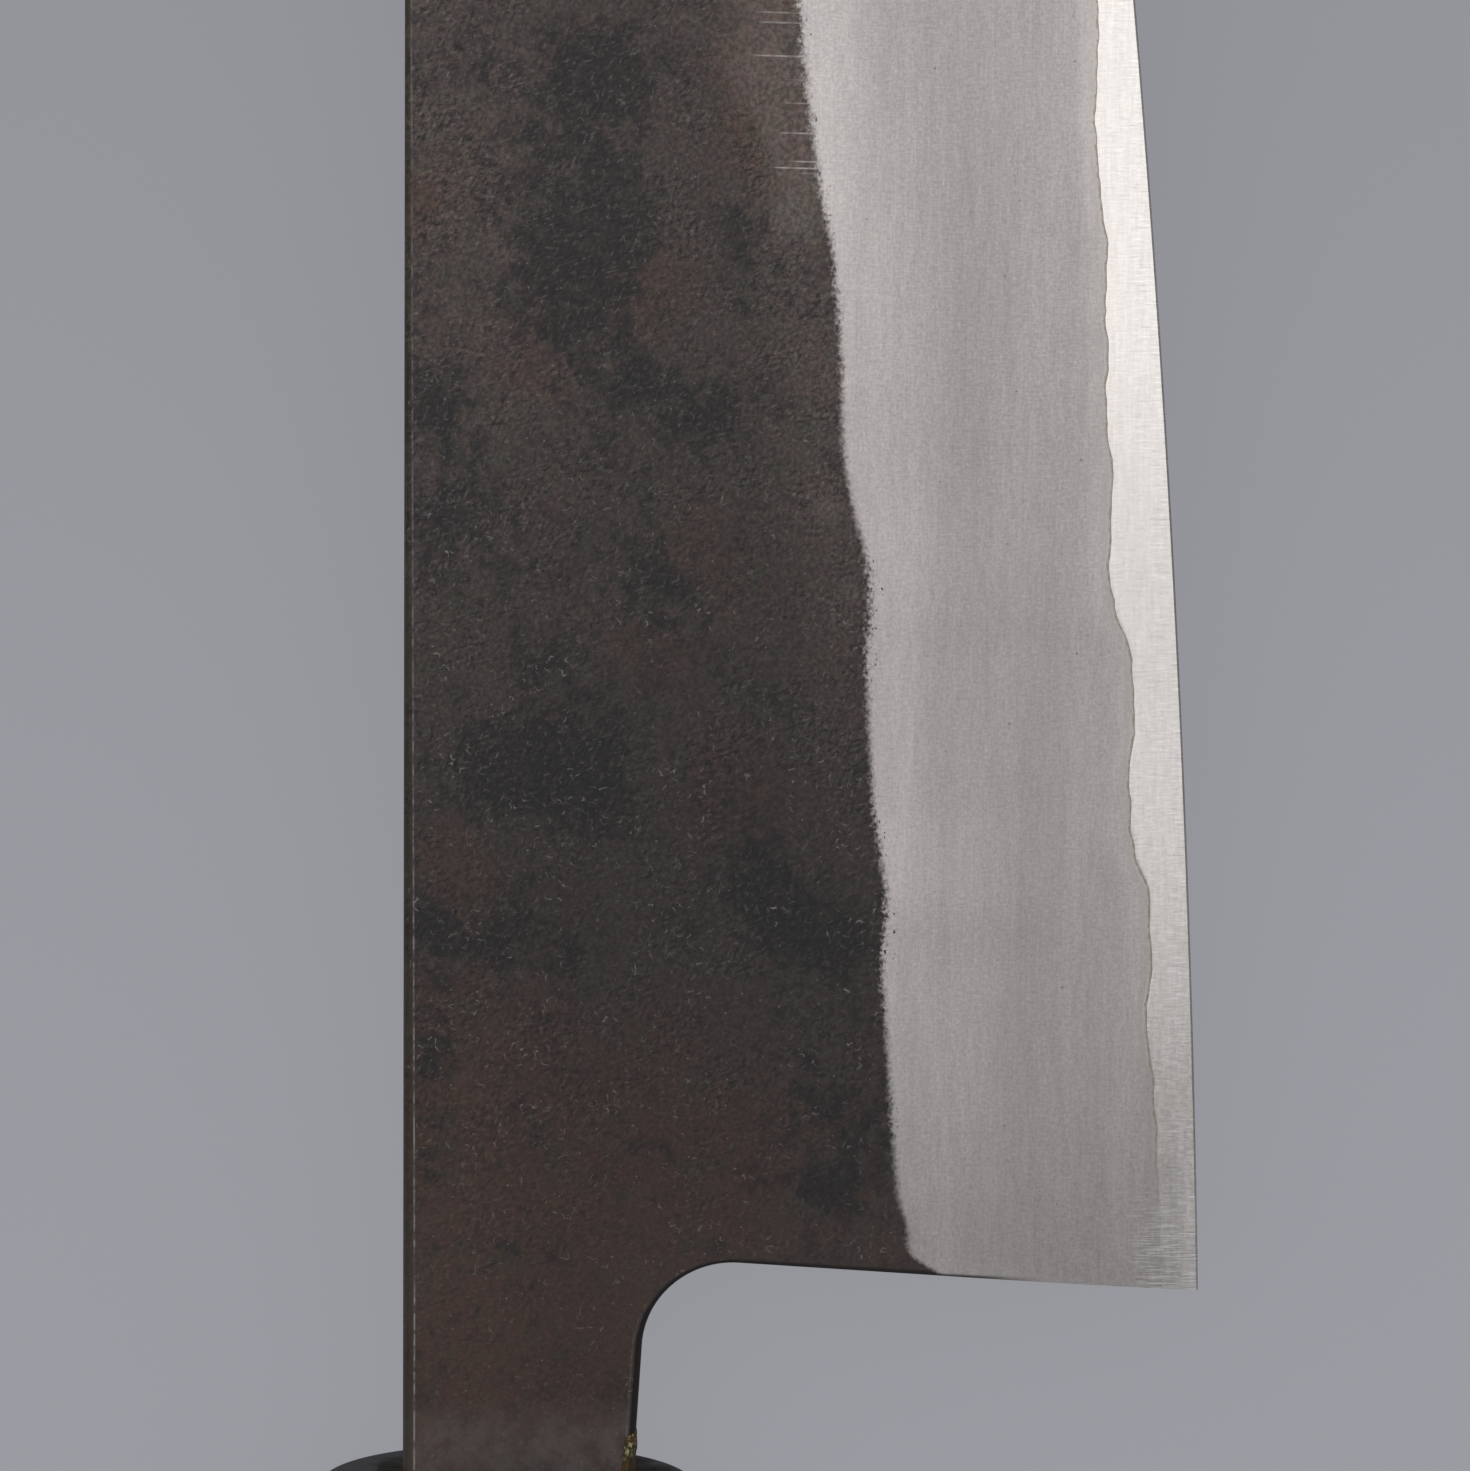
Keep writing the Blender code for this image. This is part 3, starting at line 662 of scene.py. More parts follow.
TINTED_PLACES = metres(
    (136, -21, 5), (124, -12, 6), (112, -9, 5), (101, -19, 5), (90, -11, 6), (74.9, -21.8, 6),
    (70.6, -22.4, 4.8), (67, -1.5, 3), (61.5, -14.6, 3.4), (56, -7.1, 3.4), (45.7, -18.3, 4.4),
    (39.7, -14.6, 3.2), (31.8, -20, 5.2), (25.1, -3.9, 3), (17, -7, 4.8), (14, -14, 5), (12, -5, 5.6),
    (10, -13, 5.6), (8, -19.5, 4.2), (27, -2.4, 3.6), (18, -2.6, 4.6), (9, -2.2, 5), (5, -8, 6.6),
    (3, -17, 5), (-3, -6, 6.6), (-6, -11, 5), (-7.5, -3, 4),
)
# Where the scale is rubbed thin and pale
PALE_PLACES = metres(
    (126, -8, 5), (104, -14, 6), (88, -20, 4.5), (77, -21.5, 6.2), (72.2, -23.5, 4.6), (69, -24, 3.4),
    (65.5, -23.5, 2.6), (48, -25.2, 1.8), (43, -26.4, 1.5),
)
# Where scale broke off in teeth along the line, from heel to tip
RAGGEDNESS = (
    (0.000, 0.15), (0.0085, 0.2), (0.0110, 0.8), (0.0130, 0.2), (0.0185, 0.5), (0.0200, 0.9),
    (0.0238, 0.9), (0.0262, 0.4), (0.0290, 1.0), (0.0308, 0.4), (0.0340, 0.3), (0.0375, 0.5),
    (0.0390, 0.8), (0.0440, 1.0), (0.0460, 0.3), (0.0530, 0.4), (0.0590, 0.6), (0.0640, 0.5),
    (0.0690, 0.7), (0.0740, 0.6), (0.0775, 0.8), (0.0900, 0.3), (0.1000, 0.9), (0.1150, 0.4),
    (0.1300, 0.8), (0.1500, 0.5),
)
MARKS_LENGTH = 0.150


def nearness(places, x, y):
    """1 in the middle of the nearest of the places, and next to nothing out of reach of them all."""
    away = [math.hypot(x - place_x, y - place_y) / reach for place_x, place_y, reach in places]
    return min(1.0, sum(math.exp(-2 * distance**2) for distance in away))


def place_on_face(x, side):
    """The left face has the right one's marks in another order, read from tip to neck."""
    return x if side > 0 else MARKS_LENGTH - x


def make_cladding(name, side):
    covered = [x for x in columns if spine_y(x) > weld_line_y(x, side) + 2 * COLUMN_STEP]
    rings = [cladding_ring(x, side) for x in covered]
    count = len(rings[0])
    rings = [tang_cladding_ring(x, side, count) for x in tang_columns] + rings
    end = covered[-1] + COLUMN_STEP
    rings.append([Vector((end, spine_y(end), side * core_half_at(end, side)))] * count)
    piece = blade_loft(name, rings)
    cut_away(piece, heel_cutter)
    shade(piece, degrees=20)

    def lines(point):
        """How far below the line and above the weld."""
        return bevel_line_y(point.x, side) - point.y, point.y - weld_line_y(point.x, side)

    def rims(point):
        """How far below the back's chamfer and ahead of the cut."""
        ahead = ahead_of_cut(point.x, point.y) if point.x < 2 * HEEL_COLUMNS_END else HEEL_COLUMNS_END
        return spine_y(point.x) - chamfer_at(point.x) - point.y, ahead

    def fire_marks(point):
        x = place_on_face(point.x, side)
        return nearness(SOOTY_PLACES, x, point.y), nearness(TINTED_PLACES, x, point.y)

    def broken_scale(point):
        x = place_on_face(point.x, side)
        return curve_at(RAGGEDNESS, x), nearness(PALE_PLACES, x, point.y)

    map_blade(piece, "lines", lines)
    map_blade(piece, "rims", rims)
    map_blade(piece, "fire_marks", fire_marks)
    map_blade(piece, "broken_scale", broken_scale)
    return piece


# Pits, on the ground iron: sparse round dots of uneven size, at most one to a cell
nodes, given, give = new_group("pits", "Pits", Place="Vector", Cell="Float", Radius="Float", Share="Float")
_, cells = nodes.cells(given["Place"], given["Cell"])
size_chance, share_chance, _ = nodes.split(cells["Color"])
usual_radius = nodes.math("DIVIDE", given["Radius"], given["Cell"])
radius = nodes.times(usual_radius, nodes.fit(size_chance, 0.0, 1.0, 0.45, 1.3))
depth = nodes.rest(nodes.math("DIVIDE", cells["Distance"], radius))
give(nodes.times(nodes.fit(depth, 0.0, 0.6), nodes.math("LESS_THAN", share_chance, given["Share"])))

# Single scratches of the grinding wheel that run past the line into the black: place from the heel,
# reach, and how bright they are
WHEEL_SCRATCHES = (
    (0.0682, 0.0013, 0.35), (0.0685, 0.0032, 0.90), (0.0689, 0.0018, 0.80), (0.0706, 0.0022, 0.75),
    (0.0724, 0.0016, 0.50), (0.0738, 0.0013, 0.30), (0.0752, 0.0033, 0.85), (0.0772, 0.0028, 0.60),
    (0.0778, 0.0028, 0.55), (0.0845, 0.0024, 0.70), (0.0910, 0.0016, 0.60), (0.1030, 0.0030, 0.80),
    (0.1170, 0.0020, 0.60), (0.1280, 0.0026, 0.70), (0.1410, 0.0018, 0.60),
)
SCRATCH_LEAN = 0.025
SCRATCH_WHOLE = 0.6  # share of its reach up to which a scratch doesn't fade
LEFT_PATTERN_X = 0.4  # how far the left face's patterns are moved, so that they differ from the right one's
SOOT_COLOUR = (0.0066, 0.0046, 0.0054, 1.0)
TINT_COLOUR = (0.0420, 0.0210, 0.0160, 1.0)
OLIVE_COLOUR = (0.0230, 0.0215, 0.0150, 1.0)
PALE_COLOUR = (0.0760, 0.0650, 0.0595, 1.0)
GRAIN_COLOUR = (0.0020, 0.0015, 0.0015, 1.0)
# Painted shade on the rounded corners of heel and neck
CORNER_SHADE = (0.0045, 0.0030, 0.0030, 1.0)
STRIP_COLOUR = (0.0340, 0.0275, 0.0190, 1.0)
RUBBED_COLOUR = (0.200, 0.188, 0.174, 1.0)
IRON_COLOUR = (0.318, 0.295, 0.290, 1.0)
IRON_STAIN = (0.312, 0.292, 0.258, 1.0)
IRON_GLINT = (0.470, 0.455, 0.430, 1.0)
WELD_COLOUR = (0.235, 0.202, 0.165, 1.0)
PIT_COLOUR = (0.080, 0.075, 0.070, 1.0)


def make_iron(name, side):
    """Black scale above the line and ground iron below it, in one material, as on the real layer."""
    iron, nodes = new_material(name)
    place = nodes.shifted(nodes.place(), (0.0 if side > 0 else LEFT_PATTERN_X, 0.0, 0.0))
    from_heel = nodes.less(nodes.split(nodes.place())[0], blade_origin.x)
    below_line, above_weld = nodes.uv("lines")[:2]
    below_back, ahead = nodes.uv("rims")[:2]
    soot, tint = nodes.uv("fire_marks")[:2]
    broken, pale = nodes.uv("broken_scale")[:2]

    # Where the iron is ground: below a ragged line, but not on the rounded corner of the heel
    grain = nodes.noise(place, 0.00026, 2.0, 0.55)
    dust = nodes.noise(place, 0.00014, 2.0, 0.6, (0.4, 0.1, 0.0))
    chips = nodes.noise(place, (0.00045, 0.00030), 2.0, 0.6, (0.2, 0.0, 0.0))
    ragged = nodes.total(
        nodes.times(nodes.less(dust, 0.5), nodes.fit(broken, 0.0, 1.0, 0.0002, 0.0005)),
        nodes.times(nodes.less(grain, 0.5), nodes.fit(broken, 0.0, 1.0, 0.0004, 0.0012)),
        nodes.times(nodes.fit(chips, 0.63, 0.70), nodes.fit(broken, 0.1, 1.0, 0.0000, -0.0009)),
    )
    on_heel = nodes.times(nodes.fit(ahead, 0.00040, 0.00014), nodes.fit(above_weld, 0.006, 0.012))
    ground = nodes.times(nodes.fit(nodes.total(below_line, ragged), -0.00028, 0.00034), nodes.rest(on_heel))

    # Black scale: clouds of soot and of brown over grey
    clouds = nodes.noise(place, 0.0060, 7.0, 0.68)
    drifts = nodes.noise(place, 0.0050, 5.0, 0.62, (0.9, 0.0, 0.0))
    olive = nodes.noise(place, 0.0030, 5.0, 0.62, (0.5, 0.5, 0.0))
    wisps = nodes.noise(place, 0.0011, 4.0, 0.7, (0.6, 0.1, 0.0))
    soot = nodes.total(
        soot, nodes.fit(clouds, 0.30, 0.70, -0.50, 0.50), nodes.fit(wisps, 0.30, 0.70, -0.52, 0.52)
    )
    tint = nodes.total(
        tint, nodes.fit(drifts, 0.28, 0.72, -0.45, 0.45), nodes.fit(from_heel, 0.0275, 0.0035, 0.0, 0.55)
    )
    pale = nodes.total(pale, nodes.fit(olive, 0.28, 0.72, 0.16, -0.16))
    sooty = nodes.fit(nodes.less(soot, nodes.times(pale, 0.4)), 0.05, 1.05)
    tinted = nodes.times(nodes.fit(tint, 0.0, 1.20), nodes.fit(from_heel, 0.0235, 0.0075, 0.66, 1.0))
    pale = nodes.fit(pale, 0.25, 1.10)
    black = nodes.coat(BLACK_COLOUR, TINT_COLOUR, tinted)
    black = nodes.coat(black, OLIVE_COLOUR, nodes.fit(olive, 0.52, 0.72, 0.0, 0.7))
    black = nodes.coat(black, PALE_COLOUR, pale, 0.36)
    black = nodes.coat(black, SOOT_COLOUR, sooty, 0.85)
    black = nodes.vary(black, place, 0.0008, 0.10)

    # It is full of small grains that lie two ways, coarser here and there, and finer towards the neck
    from_neck = nodes.fit(from_heel, -0.0045, 0.0215, 0.36, 1.0)
    coarse = nodes.fit(nodes.noise(place, 0.0026, 3.0, 0.6, (0.1, 0.8, 0.0)), 0.38, 0.62, 0.30, 1.0)
    coarse = nodes.times(nodes.most(coarse, sooty), from_neck, nodes.fit(pale, 0.0, 1.0, 1.0, 0.4))
    one_way, other_way = [
        nodes.noise(nodes.shifted(place, turn=turn), (0.00058, 0.00020), 3.0, 0.6) for turn in (0.45, 1.25)
    ]
    dark_grains = nodes.fit(nodes.math("MINIMUM", one_way, other_way), 0.47, 0.35)
    light_grains = nodes.fit(nodes.most(one_way, other_way), 0.57, 0.72)
    black = nodes.coat(black, GRAIN_COLOUR, dark_grains, coarse, 0.95)
    black = nodes.coat(black, RUBBED_COLOUR, light_grains, coarse, 0.24)
    beside_line = nodes.times(nodes.fit(below_line, -0.0070, -0.0006), nodes.fit(from_heel, 0.0115, 0.0455))
    # It is also darker near the heel and lighter towards the tip.
    # Painted sheen: lighter near the back, and beside the line, where it is partly rubbed scale.
    black = nodes.dim(
        black,
        nodes.fit(nodes.times(nodes.less(grain, 0.5), from_neck), -0.2, 0.2, 0.62, 1.40),
        nodes.fit(from_heel, 0.022, 0.072, 0.58, 1.18),
        nodes.fit(from_heel, 0.024, -0.002, 1.0, 1.22),
        nodes.fit(below_back, 0.003, 0.010, 1.24, 1.0),
        nodes.fit(beside_line, 0.0, 1.0, 1.0, 1.46),
    )
    smears = nodes.fit(nodes.noise(place, 0.0013, 4.0, 0.7, (0.4, 0.4, 0.0)), 0.35, 0.65, 0.18, 0.50)
    black = nodes.coat(black, PALE_COLOUR, nodes.fit(from_heel, -0.0060, -0.0092), smears)

    # Rubs and specks on it, in clusters, and most of all along the choil
    elsewhere = nodes.shifted(place, (0.31, 0.17, 0.0))
    rubs = nodes.most(
        nodes.group("hair_marks", Place=place, Cell=0.00085, Length=0.00050, Width=0.00013, Share=0.5),
        nodes.group("hair_marks", Place=elsewhere, Cell=0.00070, Length=0.00036, Width=0.00011, Share=0.5),
    )
    specks = nodes.group("hair_marks", Place=place, Cell=0.00110, Length=0.00013, Width=0.00014, Share=0.35)
    clusters = nodes.times(
        nodes.fit(nodes.noise(place, 0.0026, 3.0, 0.6, (0.7, 0.2, 0.0)), 0.44, 0.62, 0.08, 1.0),
        nodes.fit(sooty, 0.0, 1.0, 0.80, 1.10),
        nodes.fit(from_heel, 0.0455, 0.0635, 1.0, 0.40),
    )
    along_choil = nodes.times(
        nodes.fit(nodes.noise(place, 0.0030, 3.0, 0.6, (0.2, 0.9, 0.0)), 0.50, 0.60, 0.0, 0.7),
        nodes.fit(from_neck, 0.9, 0.3),
        nodes.fit(ahead, 0.0050, 0.0030),
    )
    black = nodes.coat(black, RUBBED_COLOUR, rubs, clusters, from_neck, 0.72)
    black = nodes.coat(black, RUBBED_COLOUR, rubs, along_choil, 0.8)
    black = nodes.coat(black, RUBBED_COLOUR, specks, 0.45)

    # Its rims: the chamfer of the back, worn bright along its lower edge, partly a painted highlight, and
    # the corners of heel and neck
    chamfer = nodes.fit(below_back, -0.00010, 0.00002, 0.55, 0.0)
    black = nodes.coat(black, STRIP_COLOUR, chamfer, nodes.fit(olive, 0.40, 0.60, 0.4, 1.0))
    worn = nodes.fit(nodes.noise(place, 0.0008, 2.0, 0.6), 0.40, 0.62, 0.10, 0.80)
    # Painted highlight, partly: the chamfer's lower edge is painted bright as worn scale and as a lit
    # arris.
    worn_edge_and_highlight = nodes.times(nodes.near(below_back, 0.0, 0.00002, 0.00007), worn)
    black = nodes.coat(black, RUBBED_COLOUR, worn_edge_and_highlight, nodes.fit(from_heel, 0.0615, 0.0015, 0.45, 1.0))
    under_neck = nodes.times(
        nodes.near(ahead, 0.00058, 0.00002, 0.00010, 0.15), nodes.fit(from_heel, 0.0015, -0.0045)
    )
    black = nodes.coat(black, RUBBED_COLOUR, under_neck, nodes.fit(grain, 0.40, 0.60, 0.4, 1.0))
    # Painted shade: the rounded corners of heel and neck are painted darker, as they face away from the
    # lamp.
    at_corner = nodes.fit(ahead, 0.00056, 0.00030)
    black = nodes.coat(black, CORNER_SHADE, at_corner, 0.9)

    # Ground iron: strokes, streaks and grit, with painted reflection: paler along both of its lines, darker
    # towards the heel
    strokes = nodes.group("stone_strokes", Place=place, Crosswise=0.46)
    coarser = nodes.fit(from_heel, 0.030, 0.062, 0.76, 1.04)
    streaks = nodes.noise(place, (0.0032, 0.00042), 4.0, 0.66, (0.0, 0.6, 0.0))
    grit = nodes.noise(place, (0.00020, 0.00017), 2.0, 0.6, (0.3, 0.3, 0.0))
    broad = nodes.noise(place, (0.045, 0.0032), 2.0, 0.5, (0.2, 0.4, 0.0))
    # Painted reflection: the colour is lifted near the line and near the weld.
    reflection_lifts = [
        nodes.times(nodes.fit(distance, end, start), nodes.fit(from_heel, *along))
        for distance, start, end, along in (
            (below_line, 0.0, 0.0062, (0.050, 0.080, 0.20, 0.34)),
            (below_line, 0.0, 0.0062, (0.006, 0.028, -0.13, 0.0)),
            (above_weld, 0.0002, 0.0024, (0.0115, 0.0235, 0.0, 0.20)),
            (above_weld, 0.0001, 0.0014, (0.0515, 0.0735, 0.0, 0.26)),
        )
    ]
    # Painted shade: a darker band across the middle of the bevel, as of a hollow that the shape doesn't
    # have.
    hollow_shade = nodes.near(below_line, 0.0080, 0.0, 0.0034, -0.04)
    bright = nodes.dim(
        IRON_COLOUR,
        nodes.total(1.0, nodes.times(nodes.fit(strokes, 0.34, 0.66, -0.16, 0.16), coarser)),
        nodes.fit(streaks, 0.30, 0.70, 0.96, 1.05),
        nodes.fit(grit, 0.28, 0.72, 0.91, 1.09),
        nodes.fit(broad, 0.35, 0.65, 0.96, 1.04),
        nodes.total(1.0, hollow_shade, *reflection_lifts),
        nodes.fit(from_heel, 0.001, 0.015, 0.87, 1.0),
        nodes.fit(from_heel, 0.050, 0.018, 0.985, 1.05),
    )
    pits = nodes.group("pits", Place=place, Cell=0.0040, Radius=0.00008, Share=0.3)
    bright = nodes.coat(bright, PIT_COLOUR, pits, 0.6)

    # Along the weld it has a warm stain, a broken painted glint and a dark line, all of which end at the
    # heel
    off_heel = nodes.fit(from_heel, 0.004, 0.012)
    bright = nodes.coat(bright, IRON_STAIN, nodes.fit(above_weld, 0.00030, 0.00090, 0.35, 0.0), off_heel)
    shining = nodes.fit(nodes.noise(place, (0.0040, 1.0), 2.0), 0.42, 0.60)
    glint = nodes.near(above_weld, 0.00022, 0.00001, 0.00007, 0.40)
    bright = nodes.coat(bright, IRON_GLINT, glint, off_heel, shining)
    heel_marks = nodes.group("heel_marks", Place=place, From_heel=from_heel)
    bright = nodes.coat(bright, STEEL_GLINT, heel_marks, nodes.fit(above_weld, 0.0006, 0.0022, 0.32, 0.0))
    jagged = nodes.total(above_weld, nodes.fit(grain, 0.30, 0.70, -0.00006, 0.00006))
    bright = nodes.coat(bright, WELD_COLOUR, nodes.fit(jagged, 0.00006, 0.00015, 0.85, 0.0), off_heel)

    # Both together, with the wheel's single scratches over the line between them
    tone = nodes.coat(black, bright, ground)
    leaning = nodes.total(from_heel, nodes.times(below_line, SCRATCH_LEAN))
    scratches = 0.0
    for scratch_x, reach, strength in WHEEL_SCRATCHES:
        line = nodes.near(leaning, place_on_face(scratch_x, side), 0.00002, 0.00007, strength)
        line = nodes.times(line, nodes.fit(below_line, -reach, -reach * SCRATCH_WHOLE))
        scratches = nodes.most(scratches, line)
    gaps = nodes.fit(nodes.noise(place, (1.0, 0.0009), 1.0), 0.35, 0.55, 0.35, 1.0)
    tone = nodes.coat(tone, IRON_COLOUR, scratches, gaps, nodes.fit(below_line, 0.0, 0.0005, 1.0, 0.15))
    black_finish = nodes.fit(at_corner, 0.0, 1.0, 0.38, 0.80)
    ground_finish = nodes.fit(strokes, 0.3, 0.7, 0.28, 0.36)
    grainy = nodes.times(grain, nodes.fit(ground, 0.0, 1.0, 0.9, 0.3))
    nodes.surface(
        Base_Color=tone,
        Metallic=ground,
        Roughness=nodes.between(ground, black_finish, ground_finish),
        Specular_IOR_Level=0.3,
        Normal=nodes.bump(nodes.total(grainy, nodes.times(strokes, 0.35)), 0.000012, 0.6),
    )
    return iron


for side, name, iron_name, node in (
    (1, "right_face", "right_black_iron", "right_cladding"),
    (-1, "left_face", "left_black_iron", "left_cladding"),
):
    stand_for(make_cladding(name, side), make_iron(iron_name, side), node)
bpy.data.objects.remove(heel_cutter)


# Ferrule: an oval collar of black buffalo horn. It is bored from behind for the dowel, and its front wall
# has a tight slot for the neck, with a shallow pocket round it for the resin.
OVAL_SIDES = 192
BORE_SIDES = 96
RIM_STEPS = 8
SAME_PLACE = 1e-6
FERRULE_LENGTH = 0.028
FERRULE_FRONT_WALL = 0.004
FERRULE_RIM = 0.0005
BACK_RIM = 0.00012
HANDLE_BODY_LENGTH = 0.102
MOUTH_SIZE = (0.0228, 0.0186)
BUTT_SIZE = (0.0262, 0.0210)
BUTT_RIM = 0.0015
FIT_GAP = 0.0003
SEAL_WALL = 0.0008
SEAL_POCKET = 0.0020
mouth_x = -NECK_LENGTH
ferrule_back_x = mouth_x - FERRULE_LENGTH
butt_x = ferrule_back_x - HANDLE_BODY_LENGTH
dowel_low, dowel_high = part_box("joining_dowel")
bore_radius = (dowel_high[2] - dowel_low[2]) / 2 + FIT_GAP
handle_axis = Vector((0.0, HANDLE_AXIS_Y, 0.0))


def oval_half_sizes(x):
    """The handle's oval grows evenly from the mouth to the butt."""
    share = (mouth_x - x) / (mouth_x - butt_x)
    return [(mouth + (butt - mouth) * share) / 2 for mouth, butt in zip(MOUTH_SIZE, BUTT_SIZE)]


def round_bar(name, back_x, front_x, radius, sides):
    """A cylinder along the handle's axis, with its place in its mesh."""
    bpy.ops.object.select_all(action="DESELECT")
    middle = blade_origin + handle_axis + Vector(((back_x + front_x) / 2, 0.0, 0.0))
    lying = (0.0, math.pi / 2, 0.0)
    bpy.ops.mesh.primitive_cylinder_add(
        vertices=sides, radius=radius, depth=front_x - back_x, location=middle, rotation=lying
    )
    bar = bpy.context.object
    bar.name = bar.data.name = name
    bpy.ops.object.transform_apply(location=True, rotation=True, scale=True)
    return bar


def select_end(bar, end_x):
    """Goes into edit mode with the ring of vertices at end_x selected, and its edges and end face."""
    pick(bar)
    bpy.ops.object.mode_set(mode="EDIT")
    bpy.ops.mesh.select_mode(type="VERT")
    bpy.ops.mesh.select_all(action="DESELECT")
    bpy.ops.object.mode_set(mode="OBJECT")
    for vertex in bar.data.vertices:
        vertex.select = abs(vertex.co.x - blade_origin.x - end_x) < SAME_PLACE
    bpy.ops.object.mode_set(mode="EDIT")


def oval_bar(name, back_x, front_x, rims):
    """An oval bar as the handle's taper asks, with the rim of each end rounded."""
    bar = round_bar(name, back_x, front_x, 1.0, OVAL_SIDES)
    for end_x in (back_x, front_x):
        half_height, half_width = oval_half_sizes(end_x)
        select_end(bar, end_x)
        centre = blade_origin + handle_axis + Vector((end_x, 0.0, 0.0))
        bpy.ops.transform.resize(value=(1.0, half_height, half_width), center_override=centre)
        bpy.ops.object.mode_set(mode="OBJECT")
    for end_x, rim in zip((back_x, front_x), rims):
        select_end(bar, end_x)
        bpy.ops.mesh.bevel(offset=rim, segments=RIM_STEPS, profile=0.5, affect="EDGES")
        bpy.ops.object.mode_set(mode="OBJECT")
    return bar


def block(name, low, high):
    """A box from its low corner to its high one, to cut slots and pockets with."""
    bpy.ops.object.select_all(action="DESELECT")
    low, high = Vector(low), Vector(high)
    bpy.ops.mesh.primitive_cube_add(size=1.0, location=blade_origin + (low + high) / 2, scale=high - low)
    made = bpy.context.object
    made.name = name
    bpy.ops.object.transform_apply(location=True, rotation=True, scale=True)
    return made


def cut_and_remove(piece, cutter):
    cut_away(piece, cutter)
    bpy.data.objects.remove(cutter)


neck_y = -NECK_HEIGHT / 2
slot_half = (NECK_HEIGHT / 2 + FIT_GAP, NECK_HALF + FIT_GAP)
pocket_half = [half + SEAL_WALL + FIT_GAP for half in slot_half]
ferrule = oval_bar("horn_ferrule", ferrule_back_x, mouth_x, (BACK_RIM, FERRULE_RIM))
bore = round_bar("bore", ferrule_back_x - CUT_SPARE, mouth_x - FERRULE_FRONT_WALL, bore_radius, BORE_SIDES)
cut_and_remove(ferrule, bore)
for name, (half_height, half_width), depth in (
    ("slot", slot_half, FERRULE_FRONT_WALL + FIT_GAP), ("pocket", pocket_half, SEAL_POCKET)
):
    low = (mouth_x - depth, neck_y - half_height, -half_width)
    high = (mouth_x + CUT_SPARE, neck_y + half_height, half_width)
    cut_and_remove(ferrule, block(name, low, high))
shade(ferrule, degrees=32)

# Horn takes a satin polish. It is near black, with faint smoky streaks along its length, and resin has
# stained the front round the neck.
HORN_COLOUR = (0.0110, 0.0110, 0.0120, 1.0)
HORN_STREAK = (0.0300, 0.0275, 0.0260, 1.0)
HORN_STAIN = (0.0150, 0.0128, 0.0088, 1.0)
STAIN_REACH = (0.0015, 0.0096, 0.0075)  # along the neck, up and down, and sideways

horn, nodes = new_material("black_horn")
place = nodes.place()
streaks = nodes.noise(place, (0.020, 0.0014, 0.0014), 4.0, 0.6)
fine = nodes.noise(place, (0.003, 0.00014, 0.00014), 2.0, 0.5)
tone = nodes.coat(HORN_COLOUR, HORN_STREAK, nodes.fit(streaks, 0.42, 0.75))
centre = blade_origin + Vector((mouth_x, neck_y, 0.0))
from_neck = nodes.add("VectorMath", {0: place, 1: centre}, operation="SUBTRACT").outputs[0]
from_neck = nodes.add("VectorMath", {0: from_neck, 1: STAIN_REACH}, operation="DIVIDE").outputs[0]
away = nodes.add("VectorMath", {0: from_neck}, operation="LENGTH").outputs[1]
uneven = nodes.fit(nodes.noise(place, 0.0022, 2.0, 0.5), 0.3, 0.7, -0.10, 0.10)
stained = nodes.fit(nodes.total(away, uneven), 0.88, 1.08, 0.85, 0.0)
tone = nodes.coat(tone, HORN_STAIN, stained)
nodes.surface(
    Base_Color=tone,
    Roughness=nodes.total(nodes.fit(streaks, 0.3, 0.7, 0.46, 0.54), nodes.times(stained, 0.40)),
    Specular_IOR_Level=0.3,
    Normal=nodes.bump(fine, 0.000006, 0.4),
)
stand_for(ferrule, horn, "ferrule")


# Mouth seal: a bead of yellow-brown resin, poured into the pocket round the neck. Some of it crept out
# and set as a crust, mostly along the underside of the neck.
SEAL_STEP = 0.00015
SEAL_CREEP = 0.0004
SEAL_CREEP_BELOW = 0.0028
SEAL_REACH_UP = 0.00018  # how far up the neck's faces that crust goes, and over which height it thins out
SEAL_THINS_OVER = 0.00006
SEAL_LUMP = 0.0006
SEAL_ROUGHNESS = 0.8  # how much the creep varies round the neck, and from lump to lump below it
SEAL_FINER_ROUGHNESS = 0.2
CRUST_SHARES = (0.98, 0.92, 0.84, 0.74, 0.62, 0.50, 0.38, 0.26, 0.13)  # of the creep, from its end back
CRUST_THICKNESS = 0.00008
CRUST_LUMPS = 0.00009
CRUST_BLUNTNESS = 12
FOOT_WIDTH = 0.00042  # where crust and poured bead meet, and how far that wanders
FOOT_WANDERS = 0.00015
DISH_SHARE = 0.7  # how far across the pocket the bead's surface is lowest
FILM_REACH = 0.00030  # the thin film round the pocket: its reach, its edge and half its thickness
FILM_EDGE = 0.00006
FILM_HALF = 0.00003
SEAL_BITE = 0.00002  # how far it reaches into neck and wall, so that no light gets through
SEAL_FLOOR = 0.00005
RESIN_BROWN = (0.0620, 0.0260, 0.0080, 1.0)
RESIN_PALE = (0.290, 0.250, 0.125, 1.0)
RESIN_DARK = (0.0280, 0.0260, 0.0120, 1.0)


def neck_walk():
    """Shares of the neck's half height and half thickness, once round its section."""
    faces = math.ceil(NECK_HEIGHT / SEAL_STEP)
    ends = math.ceil(2 * NECK_HALF / SEAL_STEP)
    half_way = [(share, 1.0) for share in spread(1.0, -1.0, faces)]
    half_way += [(-1.0, share) for share in spread(1.0, -1.0, ends)]
    return half_way + [(-up, -out) for up, out in half_way]


def neck_skin(up, out, along):
    """Height of the neck's skin in front of the mouth, with its rounded corners, and without them."""
    low = -NECK_HEIGHT - max(along, 0.0) * math.tan(NECK_TAPER)
    plain = low * (1 - up) / 2
    return max(plain, low + CORNER_EASE * abs(out) ** EASE_POWER), plain


